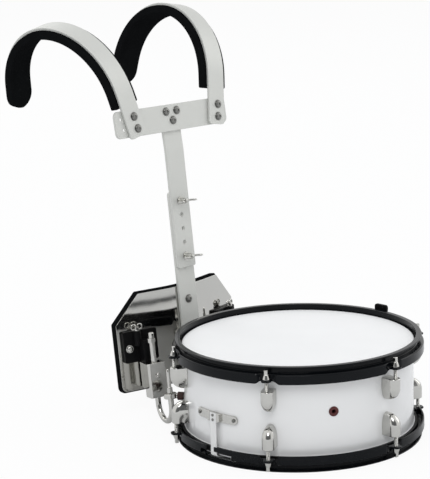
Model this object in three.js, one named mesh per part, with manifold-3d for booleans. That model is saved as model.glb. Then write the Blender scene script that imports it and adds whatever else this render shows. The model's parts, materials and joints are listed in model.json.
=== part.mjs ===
import * as THREE from 'three';
import { mergeVertices } from 'three/addons/utils/BufferGeometryUtils.js';
import Module from 'manifold-3d';

// Marching snare drum on its shoulder carrier.
// Millimetres, +Z up. The drum axis is vertical and the drum stands on its lower hoop at z = 0.
// +Y points to the player, and +X to the player's left.

const wasm = await Module();
wasm.setup();

const RIGHT_ANGLE = Math.PI / 2;
const FULL_TURN = Math.PI * 2;
const radians = (degrees) => (degrees * Math.PI) / 180;

// Clearances and cuts
const FIT = 0.3;
const CUT_OVERRUN = 5;
const MERGE_TOLERANCE = 0.0001;

// Facets
const DRUM_FACETS = 60;
const ROD_FACETS = 8;
const HOOK_FACETS = 8;
const STRAND_FACETS = 4;
const HOLE_FACETS = 10;
const KNOB_FACETS = 14;

// Drum shell
const SHELL_RADIUS = 177;
const SHELL_WALL = 6;
const SHELL_DEPTH = 139.6;
const BEARING_EDGE_DROP = 3.2;
const BEARING_EDGE_LAND = 0.7;
const HEAD_RECESS = 8.6;
const VENT_ANGLE = radians(240);
const VENT_HOLE = 9.6;
const VENT_ABOVE_MIDDLE = 6.8;
const GROMMET_WALL = 1.2;
const GROMMET_FLANGE = 2.6;
const GROMMET_RIM = 0.8;
const GROMMET_CROWN = 1.8;

// Heads
const FILM = 0.5;
const COLLAR_GAP = 0.4;
const COLLAR_WALL = 0.9;
const COLLAR_ROUND = 2.6;
const FLESH_HOOP_WIDTH = 4.7;
const FLESH_HOOP_HEIGHT = 8;
const FLESH_HOOP_DROP = 4.6;

// Heights of the drum
const SHELL_FOOT = HEAD_RECESS + FILM + FIT;
const SHELL_TOP = SHELL_FOOT + SHELL_DEPTH;
const DRUM_HEIGHT = SHELL_TOP + FIT + FILM + HEAD_RECESS;
const DRUM_MIDDLE = DRUM_HEIGHT / 2;
const VENT_LEVEL = DRUM_MIDDLE + VENT_ABOVE_MIDDLE;
const FLESH_TOP = DRUM_HEIGHT - HEAD_RECESS - FLESH_HOOP_DROP;
const FLANGE_UNDERSIDE = DRUM_HEIGHT - FLESH_TOP - FIT;

// Hoops
const HOOP_PLAY = 4;
const HOOP_INNER_RADIUS = SHELL_RADIUS + HOOP_PLAY;
const HOOP_SHEET = 2.3;
const HOOP_HEM = 0.6;
const RIM_FLANGE_WIDTH = 8.5;
const RIM_FLANGE_RADIUS = HOOP_INNER_RADIUS + RIM_FLANGE_WIDTH;
const SKIRT_STANDOFF = 3.5;
const SKIRT_RADIUS = RIM_FLANGE_RADIUS + SKIRT_STANDOFF;
const SKIRT_DEPTH = 26;
const SKIRT_SHOULDER = 1.6;
const EAR_DROP = 17.4;
const EAR_THICKNESS = 2.9;
const EAR_HALF_WIDTH = 7;
const EAR_FLARE = 12;
const EAR_HOLE = 7;
const GATE_WIDTH = 62;
const GATE_SILL = 3;
const GATE_BAND = 7;
const GATE_NOTCH = 17;
const GATE_TURN = radians(3);

// Tension rods and lugs
const ROD_COUNT = 6;
const FIRST_ROD_ANGLE = radians(30);
const ROD_OUTSIDE_SKIRT = 2.5;
const ROD_CIRCLE = SKIRT_RADIUS + ROD_OUTSIDE_SKIRT;
const ROD_DIAMETER = 5.8;
const ROD_HEAD_SIDE = 6.4;
const ROD_HEAD_BELOW_RIM = 3.1;
const ROD_COLLAR = 11.2;
const ROD_COLLAR_THICKNESS = 1.4;
const ROD_CONE = 10.6;
const ROD_CONE_HEIGHT = 4.6;
const EAR_TIP = 8.5;
const EAR_RADIUS = ROD_CIRCLE + EAR_TIP;
const EAR_NECK_GAP = 0.4;
const EAR_NECK_RADIUS = ROD_CIRCLE - ROD_COLLAR / 2 - EAR_NECK_GAP;
const LUG_WIDTH = 19.4;
const LUG_NOSE = 6.3;
const LUG_FRONT_RADIUS = ROD_CIRCLE + LUG_NOSE;
const LUG_INNER_END = 10;
const LUG_SHELL_MARGIN = 25.8;
const LUG_OUTER_END = SHELL_DEPTH / 2 - LUG_SHELL_MARGIN;
const LUG_ROUND = 19;
const LUG_EDGE = 1.6;
const LUG_NOSE_SHARE = 0.22;
const LUG_BORE = 6.4;
const LUG_BORE_DEPTH = 24;
const ROD_GRIP = 19;

// Snares
const SNARE_TURN = radians(0);
const SNARE_STRANDS = 20;
const STRAND_PITCH = 2.05;
const STRAND_DIAMETER = 1.5;
const STRAND_END_GAP = 27;
const STRAND_LENGTH = 2 * (SHELL_RADIUS - STRAND_END_GAP);
const SNARE_PLATE_WIDTH = 43;
const SNARE_PLATE_LENGTH = 12;
const SNARE_PLATE_SHEET = 1;
const STRAP_WIDTH = 12.5;
const STRAP_SHEET = 0.8;

// Butt plate
const BUTT_WIDTH = 84;
const BUTT_HEIGHT = 13.5;
const BUTT_SHEET = 2.6;
const BUTT_ABOVE_SKIRT = 42;
const BUTT_LEVEL = SKIRT_DEPTH + BUTT_ABOVE_SKIRT;
const BUTT_CLAMP_WIDTH = 24;
const BUTT_CLAMP_DEPTH = 4.6;
const BUTT_SCREW = 5.6;
const BUTT_SCREW_HEIGHT = 1.8;

// Throw-off
const STRAINER_WIDTH = 34;
const STRAINER_ABOVE_SKIRT = 22;
const STRAINER_FOOT = SKIRT_DEPTH + STRAINER_ABOVE_SKIRT;
const STRAINER_BELOW_SKIRT = 13.4;
const STRAINER_TOP = DRUM_HEIGHT - SKIRT_DEPTH - STRAINER_BELOW_SKIRT;
const STRAINER_PLATE = 3.4;
const STRAINER_DEPTH = 20;
const CHEEK = 4;
const CHEEK_RISE = 10;
const CHEEK_FOOT = STRAINER_FOOT + CHEEK_RISE;
const CHEEK_FOOT_SHARE = 0.7;
const CHEEK_TOP_SHARE = 0.75;
const STRAINER_HEIGHT = STRAINER_TOP - STRAINER_FOOT;
const CARRIAGE_RISE_SHARE = 0.226;
const CARRIAGE_FOOT = STRAINER_FOOT + STRAINER_HEIGHT * CARRIAGE_RISE_SHARE;
const CARRIAGE_HEIGHT_SHARE = 0.366;
const CARRIAGE_HEIGHT = STRAINER_HEIGHT * CARRIAGE_HEIGHT_SHARE;
const CARRIAGE_DEPTH = 11;
const CARRIAGE_SLOT_SHARE = 0.62;
const CARRIAGE_SLOT = CARRIAGE_HEIGHT * CARRIAGE_SLOT_SHARE;
const CARRIAGE_TRAVEL = 4;
const STRAINER_KNOB = 15;
const STRAINER_KNOB_SHARE = 0.127;
const STRAINER_KNOB_HEIGHT = STRAINER_HEIGHT * STRAINER_KNOB_SHARE;
const STRAINER_STEM = 5;
const STEM_SEAT_SHARE = 0.3;
const STEM_SHARE = 0.25;
const CARRIAGE_SCREW_SPREAD = 7.6;
const LEVER_PIVOT_SHARE = 0.127;
const LEVER_PIVOT_HEIGHT = STRAINER_TOP - STRAINER_HEIGHT * LEVER_PIVOT_SHARE;
const LEVER_PIVOT_STANDOFF = 15;
const LEVER_PIVOT_RADIUS = SHELL_RADIUS + LEVER_PIVOT_STANDOFF;
const LEVER_PIN = 5;
const LEVER_HUB = 10;
const LEVER_ABOVE_RIM = 6.6;
const LEVER_TOP = DRUM_HEIGHT + LEVER_ABOVE_RIM;
const LEVER_SKIRT_GAP = 2.4;
const LEVER_BACK_RADIUS = SKIRT_RADIUS + LEVER_SKIRT_GAP;
const LEVER_ARM_SHARE = 0.6;
const LEVER_SHEET = 4;
const LEVER_GRIP_WIDTH = 25;
const LEVER_GRIP_HEIGHT = 12;

// Carrier frame: the front face of the belly plate's top edge, leaning towards the player
const CARRIER_LEAN = radians(6.1);
const CARRIER_GAP = 58.4;
const CARRIER_FRONT = SKIRT_RADIUS + CARRIER_GAP;
const CARRIER_LEVEL = 197;

// Bars
const BAR_WIDTH = 38;
const BAR_SHEET = 5;
const LOWER_BAR_FOOT = -128;
const LOWER_BAR_TOP = 155;
const BAR_CORNER = 6;
const LOWER_BOLT_DROP = 23;
const LOW_BOLT_DROP = 83;
const BAR_SLOT_FOOT = 28;
const BAR_SLOT_TOP = 150;
const BAR_HOLE = 7.2;
const BAR_HOLE_PITCH = 22.7;
const BAR_HOLES = 5;
const LOWEST_BAR_HOLE = 48;
const UPPER_BAR_FOOT = 30;
const UPPER_BAR_BEND = 222;
const UPPER_BAR_LEAN = radians(3.3);
const UPPER_BAR_HEAD = 69;

// Wing bolts through the bars
const WING_BOLT = 6.6;
const WING_BOLT_HEAD = 12;
const WING_BOLT_HEAD_HEIGHT = 4;
const WING_HUB = 11;
const WING_HUB_HEIGHT = 14;
const WING_SPAN = 34;
const WING_RISE = 20;
const WING_SHEET = 3;
const WING_ROOT = 7;
const WING_BOLT_EDGE = 1.5;
const WING_STUB = 4.4;
const WING_SHOULDER_SHARE = 0.7;
const WING_CROTCH_SHARE = 0.8;
const WING_TIP_START = radians(12);
const WING_TIP_END = radians(-124);

// Crossbar
const CROSSBAR_LENGTH = 240;
const CROSSBAR_HEIGHT = 43;
const CROSSBAR_SHEET = 4.5;
const CROSSBAR_CORNER = 9;
const CROSSBAR_LEVEL = 51.5;
const CENTRE_BOLT_SPREAD = 9.5;
const CENTRE_BOLT_RISE = 8.5;
const CENTRE_BOLT_DROP = 8;
const SPARE_HOLE = 5.6;
const SPARE_HOLE_RISE = 8.5;
const SPARE_HOLE_GAP = 1;
const BOLT_HEAD = 11.4;
const BOLT_HEAD_HEIGHT = 3.6;
const DOME_EDGE_SHARE = 0.35;
const DOME_SHOULDER_SHARE = 0.74;
const DOME_RISE_SHARE = 0.84;

// Shoulder yokes: one value for each side, the player's right (-X) first
const YOKE_WIDTH = 34;
const YOKE_SHEET = 4.5;
const YOKE_INSET = [41.5, 27.7];
const YOKE_X = [YOKE_INSET[0] - CROSSBAR_LENGTH / 2, CROSSBAR_LENGTH / 2 - YOKE_INSET[1]];
const YOKE_FOOT_ABOVE_LEVEL = -22;
const YOKE_TILT = [radians(-13.3), radians(9.1)];
const YOKE_TWIST = [radians(4.3), radians(-1.1)];
const YOKE_STRAIGHT = [70, 81.5];
const YOKE_TWIST_START = 46;
const YOKE_TWIST_RUN = 80;
const YOKE_FRONT_BEND = 134.6;
const YOKE_REAR_BEND = 118.1;
const YOKE_FRONT_SWEEP = radians(81.7);
const YOKE_REAR_SWEEP = radians(79);
const YOKE_TAIL = 38;
const YOKE_CORNER = 5.5;
const YOKE_BOLT_HEIGHTS = [13, 33];
const PAD_WIDTH = 47;
const PAD_THICKNESS = 11;
const PAD_START = [53, 60];
const PAD_TAIL_OVERHANG = 5;
const PAD_CORNER = 2;
const PAD_EDGE_ROUND = 3;
const ARCH_STEP = radians(9);
const ARCH_SUBSTEPS = 8;
const STATION_GAP = 3;
const END_WIDTH_SHARE = 0.12;

// Belly plate
const PLATE_FLAT = 28;
const PLATE_BEND = radians(17);
const PLATE_BEND_RADIUS = 8;
const PLATE_HALF_WIDTH = 134;
const PLATE_TOP_HALF = 90;
const PLATE_CUT_DROP = 46;
const PLATE_HEIGHT = 155;
const PLATE_SHEET = 1.6;
const PLATE_CORNER = 9;
const BELLY_PAD = 10;
const BELLY_PAD_OVERHANG = 1.6;

// Hook assembly on each wing, measured along the wing (s), out from it and down from its top edge
const HOOK_S = 93;
const BLOCK_S = 97.5;
const BLOCK_WIDTH = 59;
const BLOCK_DROP = 57;
const BLOCK_HEIGHT = 51;
const BLOCK_THICKNESS = 8;
const BLOCK_CORNER = 3;
const BLOCK_BOLT_S = 118;
const BLOCK_BOLT_DROP = 85;
const BLOCK_BOLT = 12;
const BLOCK_BOLT_HEIGHT = 4.4;
const BOSS_WIDTH = 18;
const BOSS_DROP = 72;
const BOSS_HEIGHT = 80;
const BOSS_OUT = 29.7;
const HOUSING_WIDTH = 31;
const HOUSING_DEPTH = 23;
const HOUSING_DROP = 106;
const HOUSING_HEIGHT = 56;
const HOUSING_EDGE = 4;
const HOUSING_BOLT = 10;
const HOUSING_BOLT_HEIGHT = 4;
const HOUSING_BOLT_DROP = 20;
const HOOK_ROD = 9;
const HOOK_OUT = 42;
const HOOK_BEND = 25;
const HOOK_TIP = 6;
const HOOK_STEM_EDGE = 1.5;
const HOOK_TIP_CONE = 5;
const HOOK_PRONG_ABOVE_EYE = 43;
const HOOK_SHOULDER_ABOVE_EYE = 12;
const HOOK_STEPS = 11;
const HOOK_FLOOR_GAP = 0.6;
const HOOK_STEM_TOP_DROP = 58;
const HOOK_NUT = 13;
const HOOK_NUT_HEIGHT = 7;
const HOOK_NUT_BELOW_TOP = 16;
const WING_SCREW_S = 104;
const WING_SCREW = 6;
const WING_SCREW_DEPTH = 12;
const WING_SCREW_SPAN = 21;
const WING_SCREW_RISE = 11;
const WING_SCREW_HUB = 8;
const WING_SCREW_HUB_HEIGHT = 6;
const WING_SCREW_STANDOFF = 1;
const WING_SCREW_OUT = 12.5;
const WING_SCREW_BOSS = 12;
const WING_SCREW_WIRE = 2.4;

// Eye bolts on the shell
const EYE_ABOVE_SKIRT = 26;
const EYE_LEVEL = SKIRT_DEPTH + EYE_ABOVE_SKIRT;
const EYE_OUTER = 21;
const EYE_HEIGHT = 8;
const EYE_SHANK = 8;
const EYE_FLANGE = 20;
const EYE_FLANGE_THICKNESS = 3;
const EYE_FLANGE_EDGE = 1;

// Materials
function material(color, roughness, metalness) {
  return new THREE.MeshStandardMaterial({ color, roughness, metalness });
}
const whiteWrap = material(0xe9e9e6, 0.18, 0);
const blackEnamel = material(0x0b0b0c, 0.16, 0.2);
const headFilm = material(0xf2f2f0, 0.5, 0);
const chrome = material(0xc9cccc, 0.12, 1);
const aluminium = material(0xcfd0cb, 0.38, 0.85);
const plate = material(0xb9bcbc, 0.06, 1);
const foam = material(0x0c0d0e, 0.9, 0);
const blackSteel = material(0x0a0a0b, 0.4, 0.3);
const strap = material(0xdcdcd6, 0.45, 0);
const ventMetal = material(0x5a1c16, 0.4, 0.3);

// Solids
function toSolid(geometry) {
  const bare = geometry.clone();
  bare.deleteAttribute('normal');
  bare.deleteAttribute('uv');
  const merged = mergeVertices(bare, MERGE_TOLERANCE);
  const vertProperties = new Float32Array(merged.attributes.position.array);
  const triVerts = new Uint32Array(merged.index.array);
  return new wasm.Manifold(new wasm.Mesh({ numProp: 3, vertProperties, triVerts }));
}

function toGeometry(solid) {
  const mesh = solid.getMesh();
  const geometry = new THREE.BufferGeometry();
  geometry.setAttribute('position', new THREE.BufferAttribute(new Float32Array(mesh.vertProperties), 3));
  geometry.setIndex(new THREE.BufferAttribute(new Uint32Array(mesh.triVerts), 1));
  geometry.computeVertexNormals();
  return geometry;
}

function join(...solids) {
  return solids.reduce((all, next) => all.add(next));
}

function namedMesh(name, shape, finish) {
  const geometry = shape.isBufferGeometry ? shape : toGeometry(shape);
  const mesh = new THREE.Mesh(geometry, finish);
  mesh.name = name;
  return mesh;
}

// A cylinder along Z that starts at z
function post(radius, height, z = 0, facets = ROD_FACETS, topRadius = radius) {
  const geometry = new THREE.CylinderGeometry(topRadius, radius, height, facets);
  geometry.rotateX(RIGHT_ANGLE);
  geometry.translate(0, 0, z + height / 2);
  return toSolid(geometry);
}

// A cylinder along Y that starts at y
function crossPost(radius, length, y = 0, facets = ROD_FACETS, endRadius = radius) {
  const geometry = new THREE.CylinderGeometry(endRadius, radius, length, facets);
  geometry.translate(0, y + length / 2, 0);
  return toSolid(geometry);
}

function block(width, depth, height, x, y, z) {
  const geometry = new THREE.BoxGeometry(width, depth, height);
  geometry.translate(x, y, z);
  return toSolid(geometry);
}

// A flat outline in X and Z, given its thickness along Y from y
function slab(outline, thickness, y = 0, curveSegments = 5) {
  const options = { depth: thickness, bevelEnabled: false, curveSegments };
  const geometry = new THREE.ExtrudeGeometry(outline, options);
  geometry.rotateX(RIGHT_ANGLE);
  geometry.translate(0, y + thickness, 0);
  return toSolid(geometry);
}

// A flat outline in X and Y, given its height along Z from z
function riser(outline, height, z = 0, curveSegments = 8) {
  const geometry = new THREE.ExtrudeGeometry(outline, { depth: height, bevelEnabled: false, curveSegments });
  geometry.translate(0, 0, z);
  return toSolid(geometry);
}

function lathe(profile, facets = DRUM_FACETS) {
  const points = profile.map(([r, z]) => new THREE.Vector2(r, z));
  const geometry = new THREE.LatheGeometry(points, facets);
  geometry.rotateX(RIGHT_ANGLE);
  return toSolid(geometry);
}

function roundedRectangle(width, height, corner, x = 0, y = 0) {
  const left = x - width / 2;
  const right = x + width / 2;
  const low = y - height / 2;
  const high = y + height / 2;
  const outline = new THREE.Shape();
  outline.moveTo(left + corner, low);
  outline.lineTo(right - corner, low);
  outline.absarc(right - corner, low + corner, corner, -RIGHT_ANGLE, 0, false);
  outline.absarc(right - corner, high - corner, corner, 0, RIGHT_ANGLE, false);
  outline.absarc(left + corner, high - corner, corner, RIGHT_ANGLE, Math.PI, false);
  outline.absarc(left + corner, low + corner, corner, Math.PI, Math.PI + RIGHT_ANGLE, false);
  return outline;
}

function polygon(points) {
  return new THREE.Shape(points.map(([x, y]) => new THREE.Vector2(x, y)));
}

// A closed body from rings of points, each ring seen anticlockwise from its end
function skin(rings) {
  const count = rings[0].length;
  const positions = rings.flat().flatMap((point) => point.toArray());
  const index = [];
  for (let i = 0; i < rings.length - 1; i += 1) {
    for (let j = 0; j < count; j += 1) {
      const a = i * count + j;
      const b = i * count + ((j + 1) % count);
      index.push(a, b, b + count, a, b + count, a + count);
    }
  }
  const last = (rings.length - 1) * count;
  for (let j = 1; j < count - 1; j += 1) {
    index.push(0, j + 1, j);
    index.push(last, last + j, last + j + 1);
  }
  const geometry = new THREE.BufferGeometry();
  geometry.setAttribute('position', new THREE.BufferAttribute(new Float32Array(positions), 3));
  geometry.setIndex(index);
  return geometry;
}

function turned(solid) {
  return solid.rotate([180, 0, 0]).translate([0, 0, DRUM_HEIGHT]);
}

function aroundDrum(object, angle, radius = 0, z = 0) {
  object.position.set(radius * Math.cos(angle), radius * Math.sin(angle), z);
  object.rotation.z = angle;
  return object;
}

// Drum shell: a ply tube with both bearing edges cut and the vent hole bored
function makeShell() {
  const inner = SHELL_RADIUS - SHELL_WALL;
  const land = inner + SHELL_WALL / 2;
  const tube = lathe([
    [inner, SHELL_FOOT + BEARING_EDGE_DROP],
    [land - BEARING_EDGE_LAND, SHELL_FOOT],
    [land + BEARING_EDGE_LAND, SHELL_FOOT],
    [SHELL_RADIUS, SHELL_FOOT + BEARING_EDGE_DROP / 2],
    [SHELL_RADIUS, SHELL_TOP - BEARING_EDGE_DROP / 2],
    [land + BEARING_EDGE_LAND, SHELL_TOP],
    [land - BEARING_EDGE_LAND, SHELL_TOP],
    [inner, SHELL_TOP - BEARING_EDGE_DROP],
    [inner, SHELL_FOOT + BEARING_EDGE_DROP],
  ]);
  const boreLength = SHELL_WALL + 2 * CUT_OVERRUN;
  const bore = new THREE.CylinderGeometry(VENT_HOLE / 2, VENT_HOLE / 2, boreLength, HOLE_FACETS);
  bore.rotateZ(RIGHT_ANGLE);
  bore.translate(SHELL_RADIUS - SHELL_WALL / 2, 0, 0);
  bore.rotateZ(VENT_ANGLE);
  bore.translate(0, 0, VENT_LEVEL);
  return tube.subtract(toSolid(bore));
}

function makeVentGrommet() {
  const sleeve = VENT_HOLE / 2 - 2 * FIT;
  const bore = sleeve - GROMMET_WALL;
  const flange = VENT_HOLE / 2 + GROMMET_FLANGE;
  const back = -SHELL_WALL;
  const ring = lathe([
    [bore, back],
    [sleeve, back],
    [sleeve, FIT],
    [flange, FIT],
    [flange, FIT + GROMMET_RIM],
    [sleeve, FIT + GROMMET_CROWN],
    [bore, FIT + GROMMET_WALL],
    [bore, back],
  ], KNOB_FACETS);
  const geometry = toGeometry(ring);
  geometry.rotateY(RIGHT_ANGLE);
  return geometry;
}

// Head: film, collar over the bearing edge and flesh hoop, in one moulded piece
function makeHead() {
  const film = DRUM_HEIGHT - HEAD_RECESS;
  const collarInner = SHELL_RADIUS + COLLAR_GAP;
  const collarOuter = collarInner + COLLAR_WALL;
  const fleshOuter = collarOuter + FLESH_HOOP_WIDTH;
  const fleshFoot = FLESH_TOP - FLESH_HOOP_HEIGHT;
  return lathe([
    [0, film - FILM],
    [collarInner - COLLAR_ROUND, film - FILM],
    [collarInner, film - FILM - COLLAR_ROUND / 2],
    [collarInner, fleshFoot],
    [fleshOuter, fleshFoot],
    [fleshOuter, FLESH_TOP],
    [collarOuter, FLESH_TOP],
    [collarOuter, film - COLLAR_ROUND / 2],
    [collarOuter - COLLAR_ROUND, film],
    [0, film],
  ]);
}

// Hoop: a pressed section that changes round the drum from a turned-down skirt to six flat ears
const smoothstep = (t) => t * t * (3 - 2 * t);
const clamp01 = (t) => Math.min(1, Math.max(0, t));
const mix = (a, b, t) => a + (b - a) * t;

function hoopSection(distanceFromRod) {
  const fold = smoothstep(clamp01((EAR_HALF_WIDTH + EAR_FLARE - distanceFromRod) / EAR_FLARE));
  const reach = Math.sqrt(clamp01(1 - (distanceFromRod / (EAR_HALF_WIDTH + HOOP_HEM)) ** 4));
  const shoulder = mix(SKIRT_RADIUS - SKIRT_SHOULDER, EAR_NECK_RADIUS - HOOP_HEM, fold);
  const neck = mix(SKIRT_RADIUS, EAR_NECK_RADIUS, fold);
  const edge = mix(SKIRT_RADIUS, EAR_RADIUS, fold * reach);
  const flangeTop = FLANGE_UNDERSIDE - HOOP_SHEET;
  const skirtInner = SKIRT_RADIUS - HOOP_SHEET;
  const points = [
    [HOOP_INNER_RADIUS, 0],
    [HOOP_INNER_RADIUS, FLANGE_UNDERSIDE],
    [neck - HOOP_SHEET - SKIRT_SHOULDER, FLANGE_UNDERSIDE],
    [neck - HOOP_SHEET, mix(FLANGE_UNDERSIDE + SKIRT_SHOULDER, EAR_DROP + EAR_THICKNESS, fold)],
    [mix(skirtInner, edge, fold), mix(SKIRT_DEPTH, EAR_DROP + EAR_THICKNESS, fold)],
    [edge, mix(SKIRT_DEPTH - HOOP_HEM, EAR_DROP, fold)],
    [neck, mix(flangeTop + SKIRT_SHOULDER, EAR_DROP, fold)],
    [shoulder, flangeTop],
    [HOOP_INNER_RADIUS + HOOP_SHEET, flangeTop],
    [HOOP_INNER_RADIUS + HOOP_SHEET, HOOP_SHEET],
    [RIM_FLANGE_RADIUS, HOOP_SHEET],
    [RIM_FLANGE_RADIUS, 0],
  ];
  return points.map(([r, depth]) => [r, DRUM_HEIGHT - depth]);
}

function makeHoop(gates) {
  const nearRodShares = [0, 0.55, 0.88, 1];
  const flareShares = [0.3, 0.65, 1];
  const halfPitch = Math.PI / ROD_COUNT;
  const distances = nearRodShares.map((share) => share * EAR_HALF_WIDTH);
  flareShares.forEach((share) => distances.push(EAR_HALF_WIDTH + share * EAR_FLARE));
  const flareEnd = distances[distances.length - 1] / ROD_CIRCLE;
  const betweenShares = [0.35, 0.68];
  betweenShares.forEach((share) => distances.push(mix(flareEnd, halfPitch, share) * ROD_CIRCLE));
  const offsets = [...distances.slice(1).reverse().map((d) => -d), ...distances];
  const angles = [];
  for (let k = 0; k < ROD_COUNT; k += 1) {
    offsets.forEach((d) => angles.push([FIRST_ROD_ANGLE + 2 * k * halfPitch + d / ROD_CIRCLE, Math.abs(d)]));
    angles.push([FIRST_ROD_ANGLE + (2 * k + 1) * halfPitch, halfPitch * ROD_CIRCLE]);
  }
  const positions = [];
  const index = [];
  const count = hoopSection(0).length;
  angles.forEach(([angle, distance]) => {
    hoopSection(distance).forEach(([r, z]) => positions.push(r * Math.cos(angle), r * Math.sin(angle), z));
  });
  angles.forEach((_, i) => {
    const here = i * count;
    const next = ((i + 1) % angles.length) * count;
    for (let j = 0; j < count; j += 1) {
      const k = (j + 1) % count;
      index.push(here + j, next + j, next + k, here + j, next + k, here + k);
    }
  });
  const geometry = new THREE.BufferGeometry();
  geometry.setAttribute('position', new THREE.BufferAttribute(new Float32Array(positions), 3));
  geometry.setIndex(index);
  let hoop = toSolid(geometry);
  for (let k = 0; k < ROD_COUNT; k += 1) {
    const angle = FIRST_ROD_ANGLE + (k * FULL_TURN) / ROD_COUNT;
    const hole = post(EAR_HOLE / 2, SKIRT_DEPTH, DRUM_HEIGHT - SKIRT_DEPTH - CUT_OVERRUN / 2, HOLE_FACETS);
    hoop = hoop.subtract(hole.translate([ROD_CIRCLE * Math.cos(angle), ROD_CIRCLE * Math.sin(angle), 0]));
  }
  if (!gates) return hoop;
  hoop = turned(hoop);
  const gateReach = 2 * SKIRT_RADIUS + 2 * CUT_OVERRUN;
  const gateFloor = HOOP_SHEET + GATE_SILL;
  const gateHeight = SKIRT_DEPTH - GATE_BAND - gateFloor;
  const gate = block(gateReach, GATE_WIDTH, gateHeight, 0, 0, gateFloor + gateHeight / 2);
  const notchHeight = SKIRT_DEPTH + CUT_OVERRUN - gateFloor;
  const notch = block(gateReach, GATE_NOTCH, notchHeight, 0, 0, gateFloor + notchHeight / 2);
  const gateTurned = gate.rotate([0, 0, THREE.MathUtils.radToDeg(GATE_TURN)]);
  const notchTurned = notch.rotate([0, 0, THREE.MathUtils.radToDeg(SNARE_TURN)]);
  return hoop.subtract(join(gateTurned, notchTurned));
}

// Lug: a bullet-shaped casting, flat where the rod enters and rounded down to the shell at the other end
function lugRing(height, share, top) {
  const half = (LUG_WIDTH / 2 - top) * share;
  const foot = SHELL_RADIUS + LUG_EDGE;
  const front = foot + (LUG_FRONT_RADIUS - top - foot) * share;
  const back = SHELL_RADIUS - CUT_OVERRUN;
  const centre = Math.max(foot, front - half);
  const arcSteps = 5;
  const points = [new THREE.Vector3(back, -half, height)];
  for (let i = 0; i <= arcSteps; i += 1) {
    const turn = -RIGHT_ANGLE + (i * Math.PI) / arcSteps;
    const reach = (front - centre) * Math.cos(turn);
    points.push(new THREE.Vector3(centre + reach, half * Math.sin(turn), height));
  }
  points.push(new THREE.Vector3(back, half, height));
  return points;
}

function makeLug() {
  const length = LUG_OUTER_END - LUG_INNER_END;
  const noseShares = [0, 0.05, 0.2, 0.5, 1];
  const rings = noseShares.map((share) => {
    const round = Math.sqrt(1 - (1 - share) ** 2);
    return lugRing(share * LUG_ROUND, mix(LUG_NOSE_SHARE, 1, round), 0);
  });
  rings.push(lugRing(length - LUG_EDGE, 1, 0));
  rings.push(lugRing(length, 1, LUG_EDGE));
  const seat = post(SHELL_RADIUS + FIT, length + 2 * CUT_OVERRUN, -CUT_OVERRUN, DRUM_FACETS * 2);
  const bore = post(LUG_BORE / 2, LUG_BORE_DEPTH + CUT_OVERRUN, length - LUG_BORE_DEPTH, ROD_FACETS);
  return toSolid(skin(rings)).subtract(seat).subtract(bore.translate([ROD_CIRCLE, 0, 0]));
}

// Tension rod, its head at the top: square key head, cone and collar on the ear, threaded end in the lug
function makeRod() {
  const earTop = DRUM_HEIGHT - EAR_DROP;
  const collarFoot = earTop + FIT;
  const collarTop = collarFoot + ROD_COLLAR_THICKNESS;
  const foot = DRUM_MIDDLE + LUG_OUTER_END - ROD_GRIP;
  const headTop = DRUM_HEIGHT - ROD_HEAD_BELOW_RIM;
  const shaft = post(ROD_DIAMETER / 2, collarFoot - foot + FIT, foot);
  const collar = post(ROD_COLLAR / 2, ROD_COLLAR_THICKNESS, collarFoot, HOLE_FACETS);
  const cone = post(ROD_CONE / 2, ROD_CONE_HEIGHT, collarTop, ROD_FACETS, ROD_HEAD_SIDE / 2);
  const head = block(ROD_HEAD_SIDE, ROD_HEAD_SIDE, headTop - collarTop, 0, 0, (headTop + collarTop) / 2);
  return join(shaft, collar, cone, head);
}

function addRodsAndLugs(group) {
  const lug = makeLug();
  const rod = makeRod();
  for (let k = 0; k < ROD_COUNT; k += 1) {
    const angle = FIRST_ROD_ANGLE + (k * FULL_TURN) / ROD_COUNT;
    const number = k + 1;
    const lowerLug = turned(lug.translate([0, 0, DRUM_MIDDLE + LUG_INNER_END]));
    const upperLugMesh = namedMesh(`lug_upper_${number}`, lug, chrome);
    group.add(aroundDrum(upperLugMesh, angle, 0, DRUM_MIDDLE + LUG_INNER_END));
    group.add(aroundDrum(namedMesh(`lug_lower_${number}`, lowerLug, chrome), angle));
    group.add(aroundDrum(namedMesh(`tension_rod_upper_${number}`, rod, chrome), angle, ROD_CIRCLE));
    group.add(aroundDrum(namedMesh(`tension_rod_lower_${number}`, turned(rod), chrome), angle, ROD_CIRCLE));
  }
}

// Snare wires: strands between two soldered end plates, close under the lower head
const STRAND_TOP = HEAD_RECESS - FIT;
const STRAND_LEVEL = STRAND_TOP - STRAND_DIAMETER / 2;
const SNARE_PLATE_TOP = STRAND_LEVEL - STRAND_DIAMETER / 4;

function makeSnareWires() {
  const parts = [];
  const across = ((SNARE_STRANDS - 1) * STRAND_PITCH) / 2;
  const plateLevel = SNARE_PLATE_TOP - SNARE_PLATE_SHEET / 2;
  for (let i = 0; i < SNARE_STRANDS; i += 1) {
    const radius = STRAND_DIAMETER / 2;
    const strand = new THREE.CylinderGeometry(radius, radius, STRAND_LENGTH, STRAND_FACETS);
    strand.rotateZ(RIGHT_ANGLE);
    strand.translate(0, i * STRAND_PITCH - across, STRAND_LEVEL);
    parts.push(toSolid(strand));
  }
  [-1, 1].forEach((end) => {
    const x = (end * (STRAND_LENGTH - SNARE_PLATE_LENGTH)) / 2;
    parts.push(block(SNARE_PLATE_LENGTH, SNARE_PLATE_WIDTH, SNARE_PLATE_SHEET, x, 0, plateLevel));
  });
  return join(...parts);
}

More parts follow.
